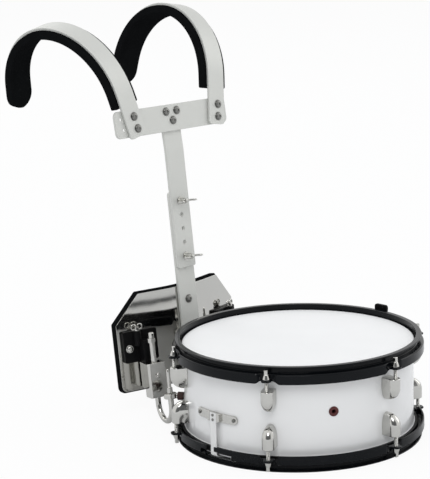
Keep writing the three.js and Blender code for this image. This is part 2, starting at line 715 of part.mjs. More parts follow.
// Snare strap: down outside the shell, through the gate and in under the snare wires' end plate
function makeStrap(radius, top) {
  const inLevel = SNARE_PLATE_TOP - SNARE_PLATE_SHEET - FIT - STRAP_SHEET;
  const collarOuter = SHELL_RADIUS + COLLAR_GAP + COLLAR_WALL;
  const fleshFoot = DRUM_HEIGHT - FLESH_TOP;
  const bendFoot = fleshFoot - FLESH_HOOP_DROP / 2;
  const end = (STRAND_LENGTH - SNARE_PLATE_LENGTH) / 2;
  const outer = radius + STRAP_SHEET;
  const side = polygon([
    [radius, top],
    [radius, fleshFoot + STRAP_SHEET],
    [radius - STRAP_SHEET, bendFoot - STRAP_SHEET],
    [collarOuter, inLevel + 2 * STRAP_SHEET],
    [end + 2 * SNARE_PLATE_LENGTH, inLevel + STRAP_SHEET],
    [end, inLevel + STRAP_SHEET],
    [end, inLevel],
    [end + 2 * SNARE_PLATE_LENGTH, inLevel],
    [collarOuter + STRAP_SHEET / 2, inLevel + STRAP_SHEET],
    [outer - STRAP_SHEET / 2, bendFoot - 2 * STRAP_SHEET],
    [outer, fleshFoot],
    [outer, top],
  ]);
  return slab(side, STRAP_WIDTH, -STRAP_WIDTH / 2);
}

const STRAP_RADIUS = SHELL_RADIUS + COLLAR_GAP + COLLAR_WALL + FLESH_HOOP_WIDTH + 2 * FIT;

// Butt plate: curved cast plate with a bridge over the strap and slotted screws
function makeButtPlate() {
  const halfAngle = BUTT_WIDTH / 2 / SHELL_RADIUS;
  const inner = SHELL_RADIUS + FIT;
  const outer = inner + BUTT_SHEET;
  const foot = BUTT_LEVEL - BUTT_HEIGHT / 2;
  const plan = new THREE.Shape();
  plan.absarc(0, 0, outer, -halfAngle, halfAngle, false);
  plan.absarc(0, 0, inner, halfAngle, -halfAngle, true);
  const curved = riser(plan, BUTT_HEIGHT, foot, 10);
  const front = roundedRectangle(BUTT_WIDTH - FIT, BUTT_HEIGHT, BUTT_HEIGHT / 2 - FIT, 0, BUTT_LEVEL);
  const mask = slab(front, SHELL_RADIUS + CUT_OVERRUN, 0).rotate([0, 0, -90]);
  const bridgeInner = STRAP_RADIUS + STRAP_SHEET + FIT;
  const bridgeOuter = outer + BUTT_CLAMP_DEPTH;
  const bridgeDepth = bridgeOuter - inner;
  const bridgeX = inner + bridgeDepth / 2 + FIT;
  const bridge = block(bridgeDepth, BUTT_CLAMP_WIDTH, BUTT_HEIGHT, bridgeX, 0, BUTT_LEVEL);
  const slotWidth = STRAP_WIDTH + 2 * FIT;
  const slotInner = STRAP_RADIUS - FIT;
  const slotDepth = bridgeInner - slotInner;
  const slotHeight = BUTT_HEIGHT + 2 * CUT_OVERRUN;
  const slot = block(slotDepth, slotWidth, slotHeight, slotInner + slotDepth / 2, 0, BUTT_LEVEL);
  const screwLength = BUTT_SHEET + BUTT_SCREW_HEIGHT;
  const screws = [-1, 1].map((side) => {
    const screw = new THREE.CylinderGeometry(BUTT_SCREW / 2, BUTT_SCREW / 2, screwLength, HOLE_FACETS);
    screw.rotateZ(RIGHT_ANGLE);
    screw.translate(inner + FIT + screwLength / 2, 0, BUTT_LEVEL);
    screw.rotateZ(side * (halfAngle - BUTT_HEIGHT / 2 / SHELL_RADIUS));
    return toSolid(screw);
  });
  return join(curved.intersect(mask), bridge, ...screws).subtract(slot);
}

// Throw-off: base with two cheeks, sliding carriage with its tension knob, and a lever on a pin
function makeStrainerBase() {
  const seat = post(SHELL_RADIUS + FIT, STRAINER_TOP + 2 * CUT_OVERRUN, 0, DRUM_FACETS * 2);
  const middle = (STRAINER_TOP + STRAINER_FOOT) / 2;
  const front = roundedRectangle(STRAINER_WIDTH, STRAINER_HEIGHT, STRAINER_WIDTH / 4, 0, middle);
  const plateDepth = STRAINER_PLATE + CUT_OVERRUN;
  const back = slab(front, plateDepth, -plateDepth / 2).rotate([0, 0, 90]);
  const backPlate = back.translate([SHELL_RADIUS + STRAINER_PLATE - plateDepth / 2, 0, 0]);
  const cheekTop = STRAINER_TOP - CHEEK / 2;
  const cheek = polygon([
    [SHELL_RADIUS, CHEEK_FOOT],
    [SHELL_RADIUS + STRAINER_DEPTH * CHEEK_FOOT_SHARE, CHEEK_FOOT],
    [SHELL_RADIUS + STRAINER_DEPTH, CHEEK_FOOT + STRAINER_DEPTH / 2],
    [SHELL_RADIUS + STRAINER_DEPTH, cheekTop - STRAINER_DEPTH / 4],
    [SHELL_RADIUS + STRAINER_DEPTH * CHEEK_TOP_SHARE, cheekTop],
    [SHELL_RADIUS, cheekTop],
  ]);
  const cheeks = [-1, 1].map((side) => {
    const y = side > 0 ? STRAINER_WIDTH / 2 - CHEEK : -STRAINER_WIDTH / 2;
    return slab(cheek, CHEEK, y);
  });
  const pinReach = STRAINER_WIDTH / 2 + CUT_OVERRUN;
  const pinHole = crossPost(boreFor(LEVER_PIN), 2 * pinReach, -pinReach, HOLE_FACETS);
  const placedHole = pinHole.translate([LEVER_PIVOT_RADIUS, 0, LEVER_PIVOT_HEIGHT]);
  return join(backPlate, ...cheeks).subtract(placedHole).subtract(seat);
}

const CHANNEL_WIDTH = STRAINER_WIDTH - 2 * CHEEK;
const CARRIAGE_BACK = SHELL_RADIUS + STRAINER_PLATE + FIT;
const CARRIAGE_TOP = CARRIAGE_FOOT + CARRIAGE_HEIGHT;

function makeCarriage() {
  const middle = CARRIAGE_FOOT + CARRIAGE_HEIGHT / 2;
  const x = CARRIAGE_BACK + CARRIAGE_DEPTH / 2;
  const body = block(CARRIAGE_DEPTH, CHANNEL_WIDTH - 2 * FIT, CARRIAGE_HEIGHT, x, 0, middle);
  const slotWidth = STRAP_WIDTH + 2 * FIT;
  const slotDepth = STRAP_SHEET + 2 * FIT;
  const slotX = STRAP_RADIUS + STRAP_SHEET / 2;
  const slot = block(slotDepth, slotWidth, CARRIAGE_SLOT + CUT_OVERRUN, slotX, 0,
    CARRIAGE_FOOT + (CARRIAGE_SLOT - CUT_OVERRUN) / 2);
  const stemSeat = CARRIAGE_HEIGHT * STEM_SEAT_SHARE;
  const stemHole = post(boreFor(STRAINER_STEM), stemSeat + CUT_OVERRUN, CARRIAGE_TOP - stemSeat, HOLE_FACETS);
  const screwLength = BUTT_SCREW_HEIGHT + FIT;
  const screw = new THREE.CylinderGeometry(BUTT_SCREW / 2, BUTT_SCREW / 2, screwLength, HOLE_FACETS);
  screw.rotateZ(RIGHT_ANGLE);
  const screwX = CARRIAGE_BACK + CARRIAGE_DEPTH + BUTT_SCREW_HEIGHT / 2;
  const screws = [-1, 1].map((side) => {
    const y = side * CARRIAGE_SCREW_SPREAD;
    return toSolid(screw.clone().translate(screwX, y, middle - CARRIAGE_SLOT / 4));
  });
  return join(body, ...screws).subtract(slot).subtract(stemHole.translate([KNOB_X, 0, 0]));
}

const KNOB_X = SHELL_RADIUS + STRAINER_PLATE + FIT + STRAINER_KNOB / 2 + FIT;

function makeStrainerKnob() {
  const cap = post(STRAINER_KNOB / 2, STRAINER_KNOB_HEIGHT, FIT, KNOB_FACETS);
  const reach = CARRIAGE_HEIGHT * STEM_SHARE;
  const stem = post(STRAINER_STEM / 2, reach + FIT, -reach);
  return join(cap, stem);
}

function makeLever() {
  const pin = crossPost(LEVER_PIN / 2, STRAINER_WIDTH, -STRAINER_WIDTH / 2, HOLE_FACETS);
  const hub = crossPost(LEVER_HUB / 2, CHANNEL_WIDTH - 2 * FIT, -CHANNEL_WIDTH / 2 + FIT, KNOB_FACETS);
  const rise = LEVER_TOP - LEVER_PIVOT_HEIGHT;
  const back = LEVER_BACK_RADIUS - LEVER_PIVOT_RADIUS;
  const armWidth = CHANNEL_WIDTH * LEVER_ARM_SHARE;
  const arm = block(LEVER_SHEET, armWidth, rise, back + LEVER_SHEET / 2 - FIT, 0, rise / 2);
  const gripLevel = rise - LEVER_GRIP_HEIGHT / 2;
  const gripCorner = LEVER_GRIP_HEIGHT / 3;
  const gripOutline = roundedRectangle(LEVER_GRIP_WIDTH, LEVER_GRIP_HEIGHT, gripCorner, 0, gripLevel);
  const grip = slab(gripOutline, LEVER_SHEET, -LEVER_SHEET / 2).rotate([0, 0, 90]);
  return join(pin, hub, arm, grip.translate([back + LEVER_SHEET / 2, 0, 0]));
}

function addSnareSystem(group) {
  const buttStrap = makeStrap(STRAP_RADIUS, BUTT_LEVEL + BUTT_HEIGHT / 2 + FIT);
  const strainerStrap = makeStrap(STRAP_RADIUS, CARRIAGE_FOOT + CARRIAGE_SLOT - CARRIAGE_TRAVEL - 2 * FIT);
  const line = new THREE.Group();
  line.rotation.z = SNARE_TURN;
  line.add(namedMesh('snare_wires', makeSnareWires(), chrome));
  line.add(namedMesh('strainer_base', makeStrainerBase(), chrome));
  line.add(namedMesh('strainer_carriage', makeCarriage(), chrome));
  const knob = namedMesh('strainer_knob', makeStrainerKnob(), chrome);
  knob.position.set(KNOB_X, 0, CARRIAGE_TOP);
  line.add(knob);
  const lever = namedMesh('strainer_lever', makeLever(), blackSteel);
  lever.position.set(LEVER_PIVOT_RADIUS, 0, LEVER_PIVOT_HEIGHT);
  line.add(lever);
  line.add(namedMesh('strap_strainer', strainerStrap, strap));
  const butt = new THREE.Group();
  butt.rotation.z = Math.PI;
  butt.add(namedMesh('butt_plate', makeButtPlate(), chrome));
  butt.add(namedMesh('strap_butt', buttStrap, strap));
  line.add(butt);
  group.add(line);
}

// Places on the wings of the belly plate
const wingTurn = PLATE_BEND;
const wingX = (s) => PLATE_FLAT + (s - PLATE_FLAT) * Math.cos(wingTurn);
const wingY = (s) => (s - PLATE_FLAT) * Math.sin(wingTurn);

// Belly plate and its foam pad: one bent section, trimmed by one outline
function bellySheet(front, thickness, grow) {
  const reach = PLATE_HALF_WIDTH + CUT_OVERRUN;
  const face = (y) => {
    const shift = y * Math.tan(PLATE_BEND / 2);
    const end = [wingX(reach) - y * Math.sin(PLATE_BEND), wingY(reach) + y * Math.cos(PLATE_BEND)];
    const outerX = PLATE_FLAT + PLATE_BEND_RADIUS * Math.cos(PLATE_BEND) - shift;
    const outer = [outerX, PLATE_BEND_RADIUS * Math.sin(PLATE_BEND) + y];
    const inner = [PLATE_FLAT - PLATE_BEND_RADIUS - shift, y];
    const mirrored = ([x, depth]) => [-x, depth];
    return [mirrored(end), mirrored(outer), mirrored(inner), inner, outer, end];
  };
  const section = polygon([...face(front), ...face(front + thickness).reverse()]);
  const tall = PLATE_HEIGHT + 2 * CUT_OVERRUN + 2 * grow;
  const bent = riser(section, tall, -tall + CUT_OVERRUN + grow);
  const side = wingX(PLATE_HALF_WIDTH) + grow;
  const top = wingX(PLATE_TOP_HALF) + grow / 2;
  const foot = -PLATE_HEIGHT - grow;
  const corner = PLATE_CORNER;
  const outline = new THREE.Shape();
  outline.moveTo(-top, grow);
  outline.lineTo(-side, -PLATE_CUT_DROP + grow / 2);
  outline.lineTo(-side, foot + corner);
  outline.absarc(-side + corner, foot + corner, corner, Math.PI, Math.PI + RIGHT_ANGLE, false);
  outline.lineTo(side - corner, foot);
  outline.absarc(side - corner, foot + corner, corner, -RIGHT_ANGLE, 0, false);
  outline.lineTo(side, -PLATE_CUT_DROP + grow / 2);
  outline.lineTo(top, grow);
  return bent.intersect(slab(outline, PLATE_HALF_WIDTH, -CUT_OVERRUN));
}

// Radius of a faceted bore whose flats clear a round shaft by the usual gap
function boreFor(diameter, facets = HOLE_FACETS) {
  return (diameter / 2 + FIT) / Math.cos(Math.PI / facets);
}

function domeHead(diameter, height) {
  const radius = diameter / 2;
  const dome = lathe([
    [0, 0],
    [radius, 0],
    [radius, height * DOME_EDGE_SHARE],
    [radius * DOME_SHOULDER_SHARE, height * DOME_RISE_SHARE],
    [0, height],
  ], HOLE_FACETS);
  return dome.rotate([90, 0, 0]);
}

// Lower bar: flat, slotted, bolted to the belly plate
function makeLowerBar() {
  const height = LOWER_BAR_TOP - LOWER_BAR_FOOT;
  const outline = roundedRectangle(BAR_WIDTH, height, BAR_CORNER, 0, (LOWER_BAR_TOP + LOWER_BAR_FOOT) / 2);
  const slotHeight = BAR_SLOT_TOP - BAR_SLOT_FOOT;
  const slotMiddle = (BAR_SLOT_TOP + BAR_SLOT_FOOT) / 2;
  outline.holes.push(roundedRectangle(BAR_HOLE, slotHeight, (BAR_HOLE - FIT) / 2, 0, slotMiddle));
  const front = -BAR_SHEET - FIT;
  const bolts = [LOWER_BOLT_DROP, LOW_BOLT_DROP].map((drop) => domeHead(BOLT_HEAD, BOLT_HEAD_HEIGHT)
    .translate([0, front + FIT, -drop]));
  return join(slab(outline, BAR_SHEET, front), ...bolts);
}

// Upper bar: in front of the lower one, bent a little towards the player above its hole row
const UPPER_BAR_BACK = -BAR_SHEET - 2 * FIT;
const UPPER_BAR_FRONT = UPPER_BAR_BACK - BAR_SHEET;

function makeUpperBar() {
  const lean = (z, y) => {
    const rise = z - UPPER_BAR_BEND;
    return [y + rise * Math.tan(UPPER_BAR_LEAN), z];
  };
  const headTop = UPPER_BAR_BEND + UPPER_BAR_HEAD * Math.cos(UPPER_BAR_LEAN);
  const side = polygon([
    [UPPER_BAR_FRONT, UPPER_BAR_FOOT],
    [UPPER_BAR_BACK, UPPER_BAR_FOOT],
    [UPPER_BAR_BACK, UPPER_BAR_BEND],
    lean(headTop, UPPER_BAR_BACK),
    lean(headTop, UPPER_BAR_FRONT),
    [UPPER_BAR_FRONT, UPPER_BAR_BEND],
  ]);
  const geometry = new THREE.ExtrudeGeometry(side, { depth: BAR_WIDTH, bevelEnabled: false });
  geometry.rotateX(RIGHT_ANGLE);
  geometry.rotateZ(RIGHT_ANGLE);
  geometry.translate(-BAR_WIDTH / 2, 0, 0);
  let bar = toSolid(geometry);
  for (let i = 0; i < BAR_HOLES; i += 1) {
    const length = BAR_SHEET + 2 * CUT_OVERRUN;
    const hole = crossPost(BAR_HOLE / 2, length, UPPER_BAR_FRONT - CUT_OVERRUN, HOLE_FACETS);
    bar = bar.subtract(hole.translate([0, 0, LOWEST_BAR_HOLE + i * BAR_HOLE_PITCH]));
  }
  return bar;
}

// Wing bolt: wings in front, shank through both bars, round head behind
function makeWingBolt() {
  const shankLength = 2 * BAR_SHEET + 4 * FIT;
  const shank = crossPost(WING_BOLT / 2, shankLength, UPPER_BAR_FRONT - 2 * FIT, HOLE_FACETS);
  const tailEnd = WING_BOLT_HEAD / 2 - WING_BOLT_EDGE;
  const tail = crossPost(WING_BOLT_HEAD / 2, WING_BOLT_HEAD_HEIGHT, FIT, HOLE_FACETS, tailEnd);
  const link = crossPost(WING_BOLT / 2, 3 * FIT, -FIT, HOLE_FACETS);
  const hubBack = UPPER_BAR_FRONT - FIT;
  const hubNose = WING_HUB / 2 - WING_BOLT_EDGE;
  const hub = crossPost(hubNose, WING_HUB_HEIGHT, hubBack - WING_HUB_HEIGHT, HOLE_FACETS, WING_HUB / 2);
  const stubReach = WING_HUB_HEIGHT + WING_STUB;
  const stub = crossPost(WING_BOLT / 2 - FIT, stubReach, hubBack - stubReach, HOLE_FACETS);
  const wing = new THREE.Shape();
  wing.moveTo(0, 0);
  wing.lineTo(WING_ROOT / 2, 0);
  wing.lineTo(WING_SPAN / 2, -WING_RISE * WING_SHOULDER_SHARE);
  wing.absarc(WING_SPAN / 2 - WING_ROOT / 2, -WING_RISE, WING_ROOT / 2, WING_TIP_START, WING_TIP_END, true);
  wing.lineTo(0, -WING_HUB_HEIGHT * WING_CROTCH_SHARE);
  const halfWing = riser(wing, WING_SHEET, -WING_SHEET / 2, 4);
  const wings = join(halfWing, halfWing.mirror([1, 0, 0])).translate([0, hubBack - FIT, 0]);
  return join(shank, link, tail, hub, stub, wings);
}

// Crossbar with its bolts and the unused yoke holes
function makeCrossbar() {
  const outline = roundedRectangle(CROSSBAR_LENGTH, CROSSBAR_HEIGHT, CROSSBAR_CORNER, 0, CROSSBAR_LEVEL);
  const front = UPPER_BAR_FRONT - FIT - CROSSBAR_SHEET;
  const bar = slab(outline, CROSSBAR_SHEET, front, 4);
  const boltPlaces = [
    [-CENTRE_BOLT_SPREAD, CENTRE_BOLT_RISE],
    [CENTRE_BOLT_SPREAD, CENTRE_BOLT_RISE],
    [0, -CENTRE_BOLT_DROP],
  ];
  const bolts = boltPlaces.map(([x, z]) => domeHead(BOLT_HEAD, BOLT_HEAD_HEIGHT)
    .translate([x, front + FIT, CROSSBAR_LEVEL + z]));
  const tilt = YOKE_TILT[0];
  const edgeReach = YOKE_WIDTH / 2 / Math.cos(tilt) + SPARE_HOLE_GAP + SPARE_HOLE / 2;
  const spareLength = CROSSBAR_SHEET + 2 * CUT_OVERRUN;
  const spare = [-SPARE_HOLE_RISE, SPARE_HOLE_RISE].map((z) => {
    const hole = crossPost(SPARE_HOLE / 2, spareLength, front - CUT_OVERRUN, HOLE_FACETS);
    const spareX = YOKE_X[0] + (z - YOKE_FOOT_ABOVE_LEVEL) * Math.tan(tilt) - edgeReach;
    return hole.translate([spareX, 0, CROSSBAR_LEVEL + z]);
  });
  return spare.reduce((body, hole) => body.subtract(hole), join(bar, ...bolts));
}

// Shoulder yoke: a flat bar swept up from the crossbar, twisted outward and arched over the shoulder.
// Frames along it: a point on its outer face, and the directions along, across and into the arch.
function archFrames(side) {
  const straight = YOKE_STRAIGHT[side];
  const frontLength = YOKE_FRONT_BEND * YOKE_FRONT_SWEEP;
  const rearLength = YOKE_REAR_BEND * YOKE_REAR_SWEEP;
  const frontEnd = straight + frontLength;
  const total = frontEnd + rearLength + YOKE_TAIL;
  const turnAt = (s) => {
    if (s < straight) return 0;
    if (s < frontEnd) return (s - straight) / YOKE_FRONT_BEND;
    return YOKE_FRONT_SWEEP + Math.min(s - frontEnd, rearLength) / YOKE_REAR_BEND;
  };
  const twistAt = (s) => YOKE_TWIST[side] * smoothstep(clamp01((s - YOKE_TWIST_START) / YOKE_TWIST_RUN));
  const tilt = new THREE.Matrix4().makeRotationY(YOKE_TILT[side]);
  const axesAt = (s) => {
    const turn = turnAt(s);
    const basis = tilt.clone().multiply(new THREE.Matrix4().makeRotationZ(twistAt(s)));
    const along = new THREE.Vector3(0, Math.sin(turn), Math.cos(turn)).transformDirection(basis);
    const inward = new THREE.Vector3(0, Math.cos(turn), -Math.sin(turn)).transformDirection(basis);
    const across = new THREE.Vector3(1, 0, 0).transformDirection(basis);
    return { along, inward, across };
  };
  const frontCount = Math.round(YOKE_FRONT_SWEEP / ARCH_STEP);
  const rearCount = Math.round(YOKE_REAR_SWEEP / ARCH_STEP);
  const stations = [0, YOKE_TWIST_START, straight];
  for (let i = 1; i <= frontCount; i += 1) stations.push(straight + (i * frontLength) / frontCount);
  for (let i = 1; i <= rearCount; i += 1) stations.push(frontEnd + (i * rearLength) / rearCount);
  stations.push(total + PAD_TAIL_OVERHANG);
  const depth = UPPER_BAR_FRONT - 2 * FIT - CROSSBAR_SHEET - YOKE_SHEET;
  const position = new THREE.Vector3(YOKE_X[side], depth, CROSSBAR_LEVEL + YOKE_FOOT_ABOVE_LEVEL);
  const frames = [];
  stations.forEach((s, i) => {
    const previous = i > 0 ? stations[i - 1] : 0;
    const step = (s - previous) / ARCH_SUBSTEPS;
    for (let k = 0; k < ARCH_SUBSTEPS; k += 1) {
      position.addScaledVector(axesAt(previous + (k + 1 / 2) * step).along, step);
    }
    frames.push({ s, point: position.clone(), ...axesAt(s) });
  });
  return { frames, total };
}

// The frame at any length, taken straight between two stations so that bar and pad stay parallel
function frameAt(frames, s) {
  const last = Math.max(1, frames.findIndex((frame) => frame.s >= s - MERGE_TOLERANCE));
  const from = frames[last - 1];
  const to = frames[last];
  const share = (s - from.s) / (to.s - from.s);
  const between = (key) => from[key].clone().lerp(to[key], share);
  return { point: between('point'), across: between('across'), inward: between('inward') };
}

// Rings of a section along the arch between two lengths, with both ends' corners rounded
function archRings(side, { from, to, half, startCorner, endCorner, section }) {
  const { frames } = archFrames(side);
  const cornerShares = [0, 0.1, 0.4, 1];
  const startLengths = cornerShares.map((share) => from + share * startCorner);
  const endLengths = cornerShares.map((share) => to - share * endCorner).reverse();
  const between = frames.map((frame) => frame.s)
    .filter((s) => s > from + startCorner + STATION_GAP && s < to - endCorner - STATION_GAP);
  const cornerInset = (distance, corner) => {
    const share = clamp01(distance / corner);
    return corner * (1 - Math.sqrt(1 - (1 - share) ** 2));
  };
  return [...startLengths, ...between, ...endLengths].map((s) => {
    const { point, across, inward } = frameAt(frames, s);
    const inset = Math.max(cornerInset(s - from, startCorner), cornerInset(to - s, endCorner));
    const share = Math.max(END_WIDTH_SHARE, 1 - inset / half);
    return section(share).map(([a, b]) => point.clone()
      .addScaledVector(across, a)
      .addScaledVector(inward, b));
  });
}

function makeYoke(side) {
  const half = YOKE_WIDTH / 2;
  const edge = YOKE_SHEET / 5;
  const { frames, total } = archFrames(side);
  const rings = archRings(side, {
    from: 0,
    to: total,
    half,
    startCorner: YOKE_CORNER,
    endCorner: YOKE_CORNER,
    section: (share) => [
      [-half * share, edge],
      [-half * share + edge, 0],
      [half * share - edge, 0],
      [half * share, edge],
      [half * share, YOKE_SHEET - edge],
      [half * share - edge, YOKE_SHEET],
      [-half * share + edge, YOKE_SHEET],
      [-half * share, YOKE_SHEET - edge],
    ],
  });
  const bar = toSolid(skin(rings));
  const turn = THREE.MathUtils.radToDeg(YOKE_TILT[side]);
  const bolts = YOKE_BOLT_HEIGHTS.map((height) => {
    const { point } = frameAt(frames, height);
    const head = domeHead(BOLT_HEAD, BOLT_HEAD_HEIGHT).rotate([0, turn, 0]);
    return head.translate([point.x, point.y + FIT, point.z]);
  });
  return join(bar, ...bolts);
}

function makeShoulderPad(side) {
  const half = PAD_WIDTH / 2;
  const round = PAD_EDGE_ROUND;
  const back = YOKE_SHEET + FIT;
  const front = back + PAD_THICKNESS;
  return skin(archRings(side, {
    from: PAD_START[side],
    to: archFrames(side).total + PAD_TAIL_OVERHANG,
    half,
    startCorner: PAD_CORNER,
    endCorner: half,
    section: (share) => [
      [-half * share + round / 2, back],
      [half * share - round / 2, back],
      [half * share, back + round],
      [half * share, front - round],
      [half * share - round, front - round / 4],
      [-half * share + round, front - round / 4],
      [-half * share, front - round],
      [-half * share, back + round],
    ],
  }));
}

// Wing frame: X along the wing away from the middle, -Y out towards the drum, Z up the plate
function makeBlock(side) {
  const s = side * (BLOCK_S - HOOK_S);
  const middle = -BLOCK_DROP - BLOCK_HEIGHT / 2;
  const outline = roundedRectangle(BLOCK_WIDTH, BLOCK_HEIGHT, BLOCK_CORNER, s, middle);
  const base = slab(outline, BLOCK_THICKNESS, -FIT - BLOCK_THICKNESS);
  const bossDepth = BOSS_OUT - BLOCK_THICKNESS / 2;
  const bossY = -BOSS_OUT + bossDepth / 2;
  const boss = block(BOSS_WIDTH, bossDepth, BOSS_HEIGHT, 0, bossY, -BOSS_DROP - BOSS_HEIGHT / 2);
  const bolt = domeHead(BLOCK_BOLT, BLOCK_BOLT_HEIGHT);
  const boltX = side * (BLOCK_BOLT_S - HOOK_S);
  const placedBolt = bolt.translate([boltX, -BLOCK_THICKNESS, -BLOCK_BOLT_DROP]);
  const screwX = side * (WING_SCREW_S - HOOK_S);
  const screwDepth = WING_SCREW_DEPTH + FIT;
  const nestFoot = -BLOCK_DROP - 2 * WING_SCREW_DEPTH;
  const nest = post(WING_SCREW_BOSS / 2, 2 * WING_SCREW_DEPTH, nestFoot, HOLE_FACETS);
  const webDepth = WING_SCREW_OUT - BLOCK_THICKNESS / 2;
  const webHeight = 2 * WING_SCREW_DEPTH;
  const web = block(WING_SCREW_BOSS, webDepth, webHeight, 0, webDepth / 2, nestFoot + webHeight / 2);
  const holeFoot = -BLOCK_DROP - screwDepth;
  const screwHole = post(boreFor(WING_SCREW), screwDepth + CUT_OVERRUN, holeFoot, HOLE_FACETS);
  const screwPlace = [screwX, -WING_SCREW_OUT, 0];
  const seat = join(nest, web).translate(screwPlace);
  return join(base, boss, placedBolt, seat).subtract(screwHole.translate(screwPlace));
}

function makeHousing() {
  const middle = -BOSS_OUT - FIT - HOUSING_DEPTH / 2;
  const plan = roundedRectangle(HOUSING_WIDTH, HOUSING_DEPTH, HOUSING_EDGE, 0, middle);
  const foot = -HOUSING_DROP - HOUSING_HEIGHT;
  const body = riser(plan, HOUSING_HEIGHT, foot, 3);
  const bore = post(boreFor(HOOK_ROD), HOUSING_HEIGHT + 2 * CUT_OVERRUN, foot - CUT_OVERRUN, HOLE_FACETS);
  const bolt = domeHead(HOUSING_BOLT, HOUSING_BOLT_HEIGHT);
  const face = middle - HOUSING_DEPTH / 2;
  const placedBolt = bolt.translate([0, face + FIT, -HOUSING_DROP - HOUSING_BOLT_DROP]);
  return join(body, placedBolt).subtract(bore.translate([0, -HOOK_OUT, 0]));
}

// Height in the carrier frame of a point that lies level z above the floor, at carrier depth y
function carrierHeight(level, y) {
  return (level - CARRIER_LEVEL + y * Math.sin(CARRIER_LEAN)) / Math.cos(CARRIER_LEAN);
}

const HOOK_BEND_Y = wingY(HOOK_S) - (HOOK_OUT + HOOK_BEND) * Math.cos(wingTurn);
const HOOK_PRONG_Y = wingY(HOOK_S) - (HOOK_OUT + 2 * HOOK_BEND) * Math.cos(wingTurn);
const HOOK_BEND_LEVEL = carrierHeight(HOOK_FLOOR_GAP + HOOK_ROD / 2 + HOOK_BEND, HOOK_BEND_Y);

// J hook: stem through the housing, bend under the drum's edge, prong up through the eye bolt
function makeHook() {
  const radius = HOOK_ROD / 2;
  const stemTop = -HOOK_STEM_TOP_DROP;
  const shoulder = carrierHeight(EYE_LEVEL + HOOK_SHOULDER_ABOVE_EYE, HOOK_PRONG_Y);
  const top = carrierHeight(EYE_LEVEL + HOOK_PRONG_ABOVE_EYE, HOOK_PRONG_Y);
  const centreY = -HOOK_OUT - HOOK_BEND;
  const ring = (y, z, turn, r) => {
    const points = [];
    for (let j = 0; j < HOOK_FACETS; j += 1) {
      const a = (j * FULL_TURN) / HOOK_FACETS;
      const across = r * Math.sin(a);
      const out = r * Math.cos(a);
      points.push(new THREE.Vector3(across, y + out * Math.cos(turn), z + out * Math.sin(turn)));
    }
    return points;
  };
  const rings = [ring(-HOOK_OUT, stemTop, 0, HOOK_TIP / 2)];
  rings.push(ring(-HOOK_OUT, stemTop - HOOK_STEM_EDGE, 0, radius));
  for (let i = 0; i <= HOOK_STEPS; i += 1) {
    const turn = (-i * Math.PI) / HOOK_STEPS;
    const y = centreY + HOOK_BEND * Math.cos(turn);
    rings.push(ring(y, HOOK_BEND_LEVEL + HOOK_BEND * Math.sin(turn), turn, radius));
  }
  const prongY = centreY - HOOK_BEND;
  rings.push(ring(prongY, shoulder, -Math.PI, radius));
  rings.push(ring(prongY, shoulder + HOOK_STEM_EDGE, -Math.PI, HOOK_TIP / 2 + FIT));
  rings.push(ring(prongY, top - HOOK_TIP_CONE, -Math.PI, HOOK_TIP / 2));
  rings.push(ring(prongY, top, -Math.PI, HOOK_TIP / 4));
  const rod = toSolid(skin(rings));
  const nut = post(HOOK_NUT / 2, HOOK_NUT_HEIGHT, stemTop - HOOK_NUT_BELOW_TOP, 6);
  return join(rod, nut.translate([0, -HOOK_OUT, 0]));
}

// Wing screw on top of the block: shank in the block, two looped wings above it
function makeWingScrew() {
  const shank = post(WING_SCREW / 2, WING_SCREW_DEPTH + WING_SCREW_STANDOFF + FIT, -WING_SCREW_DEPTH);
  const crown = WING_SCREW_HUB / 2 - WING_SCREW_STANDOFF;
  const hub = post(WING_SCREW_HUB / 2, WING_SCREW_HUB_HEIGHT, WING_SCREW_STANDOFF, HOLE_FACETS, crown);
  const loop = new THREE.Shape();
  const middle = WING_SCREW_STANDOFF + WING_SCREW_RISE / 2;
  const reach = WING_SCREW_SPAN / 4;
  loop.absellipse(reach, middle, reach, WING_SCREW_RISE / 2, 0, FULL_TURN, false);
  const eye = new THREE.Path();
  const eyeX = reach - WING_SCREW_WIRE;
  const eyeZ = WING_SCREW_RISE / 2 - WING_SCREW_WIRE;
  eye.absellipse(reach + FIT, middle, eyeX, eyeZ, 0, FULL_TURN, true);
  loop.holes.push(eye);
  const half = slab(loop, WING_SCREW_WIRE, -WING_SCREW_WIRE / 2, 7);
  return join(shank, hub, half, half.mirror([1, 0, 0]));
}

// Eye bolt: flange on the shell, round shank, and an eye that takes the hook's prong
function makeEyeBolt(prong, lean) {
  const radial = Math.hypot(prong.x, prong.y);
  const boreRadius = boreFor(HOOK_ROD, KNOB_FACETS);
  const flangeBack = SHELL_RADIUS - CUT_OVERRUN;
  const flangeLength = CUT_OVERRUN + EYE_FLANGE_THICKNESS;
  const flangeFace = EYE_FLANGE / 2 - EYE_FLANGE_EDGE;
  const flange = post(EYE_FLANGE / 2, flangeLength, flangeBack, KNOB_FACETS, flangeFace);
  const shank = post(EYE_SHANK / 2, radial - SHELL_RADIUS - boreRadius, SHELL_RADIUS, HOLE_FACETS);
  const turn = THREE.MathUtils.radToDeg(Math.atan2(prong.y, prong.x));
  const arm = join(flange, shank).rotate([0, 90, 0]).rotate([0, 0, turn]).translate([0, 0, prong.z]);
  const seat = post(SHELL_RADIUS + FIT, DRUM_HEIGHT, 0, DRUM_FACETS * 2);
  const tip = THREE.MathUtils.radToDeg(-lean);
  const ring = post(EYE_OUTER / 2, EYE_HEIGHT, -EYE_HEIGHT / 2, KNOB_FACETS).rotate([tip, 0, 0]);
  const bore = post(boreRadius, 4 * EYE_HEIGHT, -2 * EYE_HEIGHT, KNOB_FACETS).rotate([tip, 0, 0]);
  const place = [prong.x, prong.y, prong.z];
  return join(arm.subtract(seat), ring.translate(place)).subtract(bore.translate(place));
}

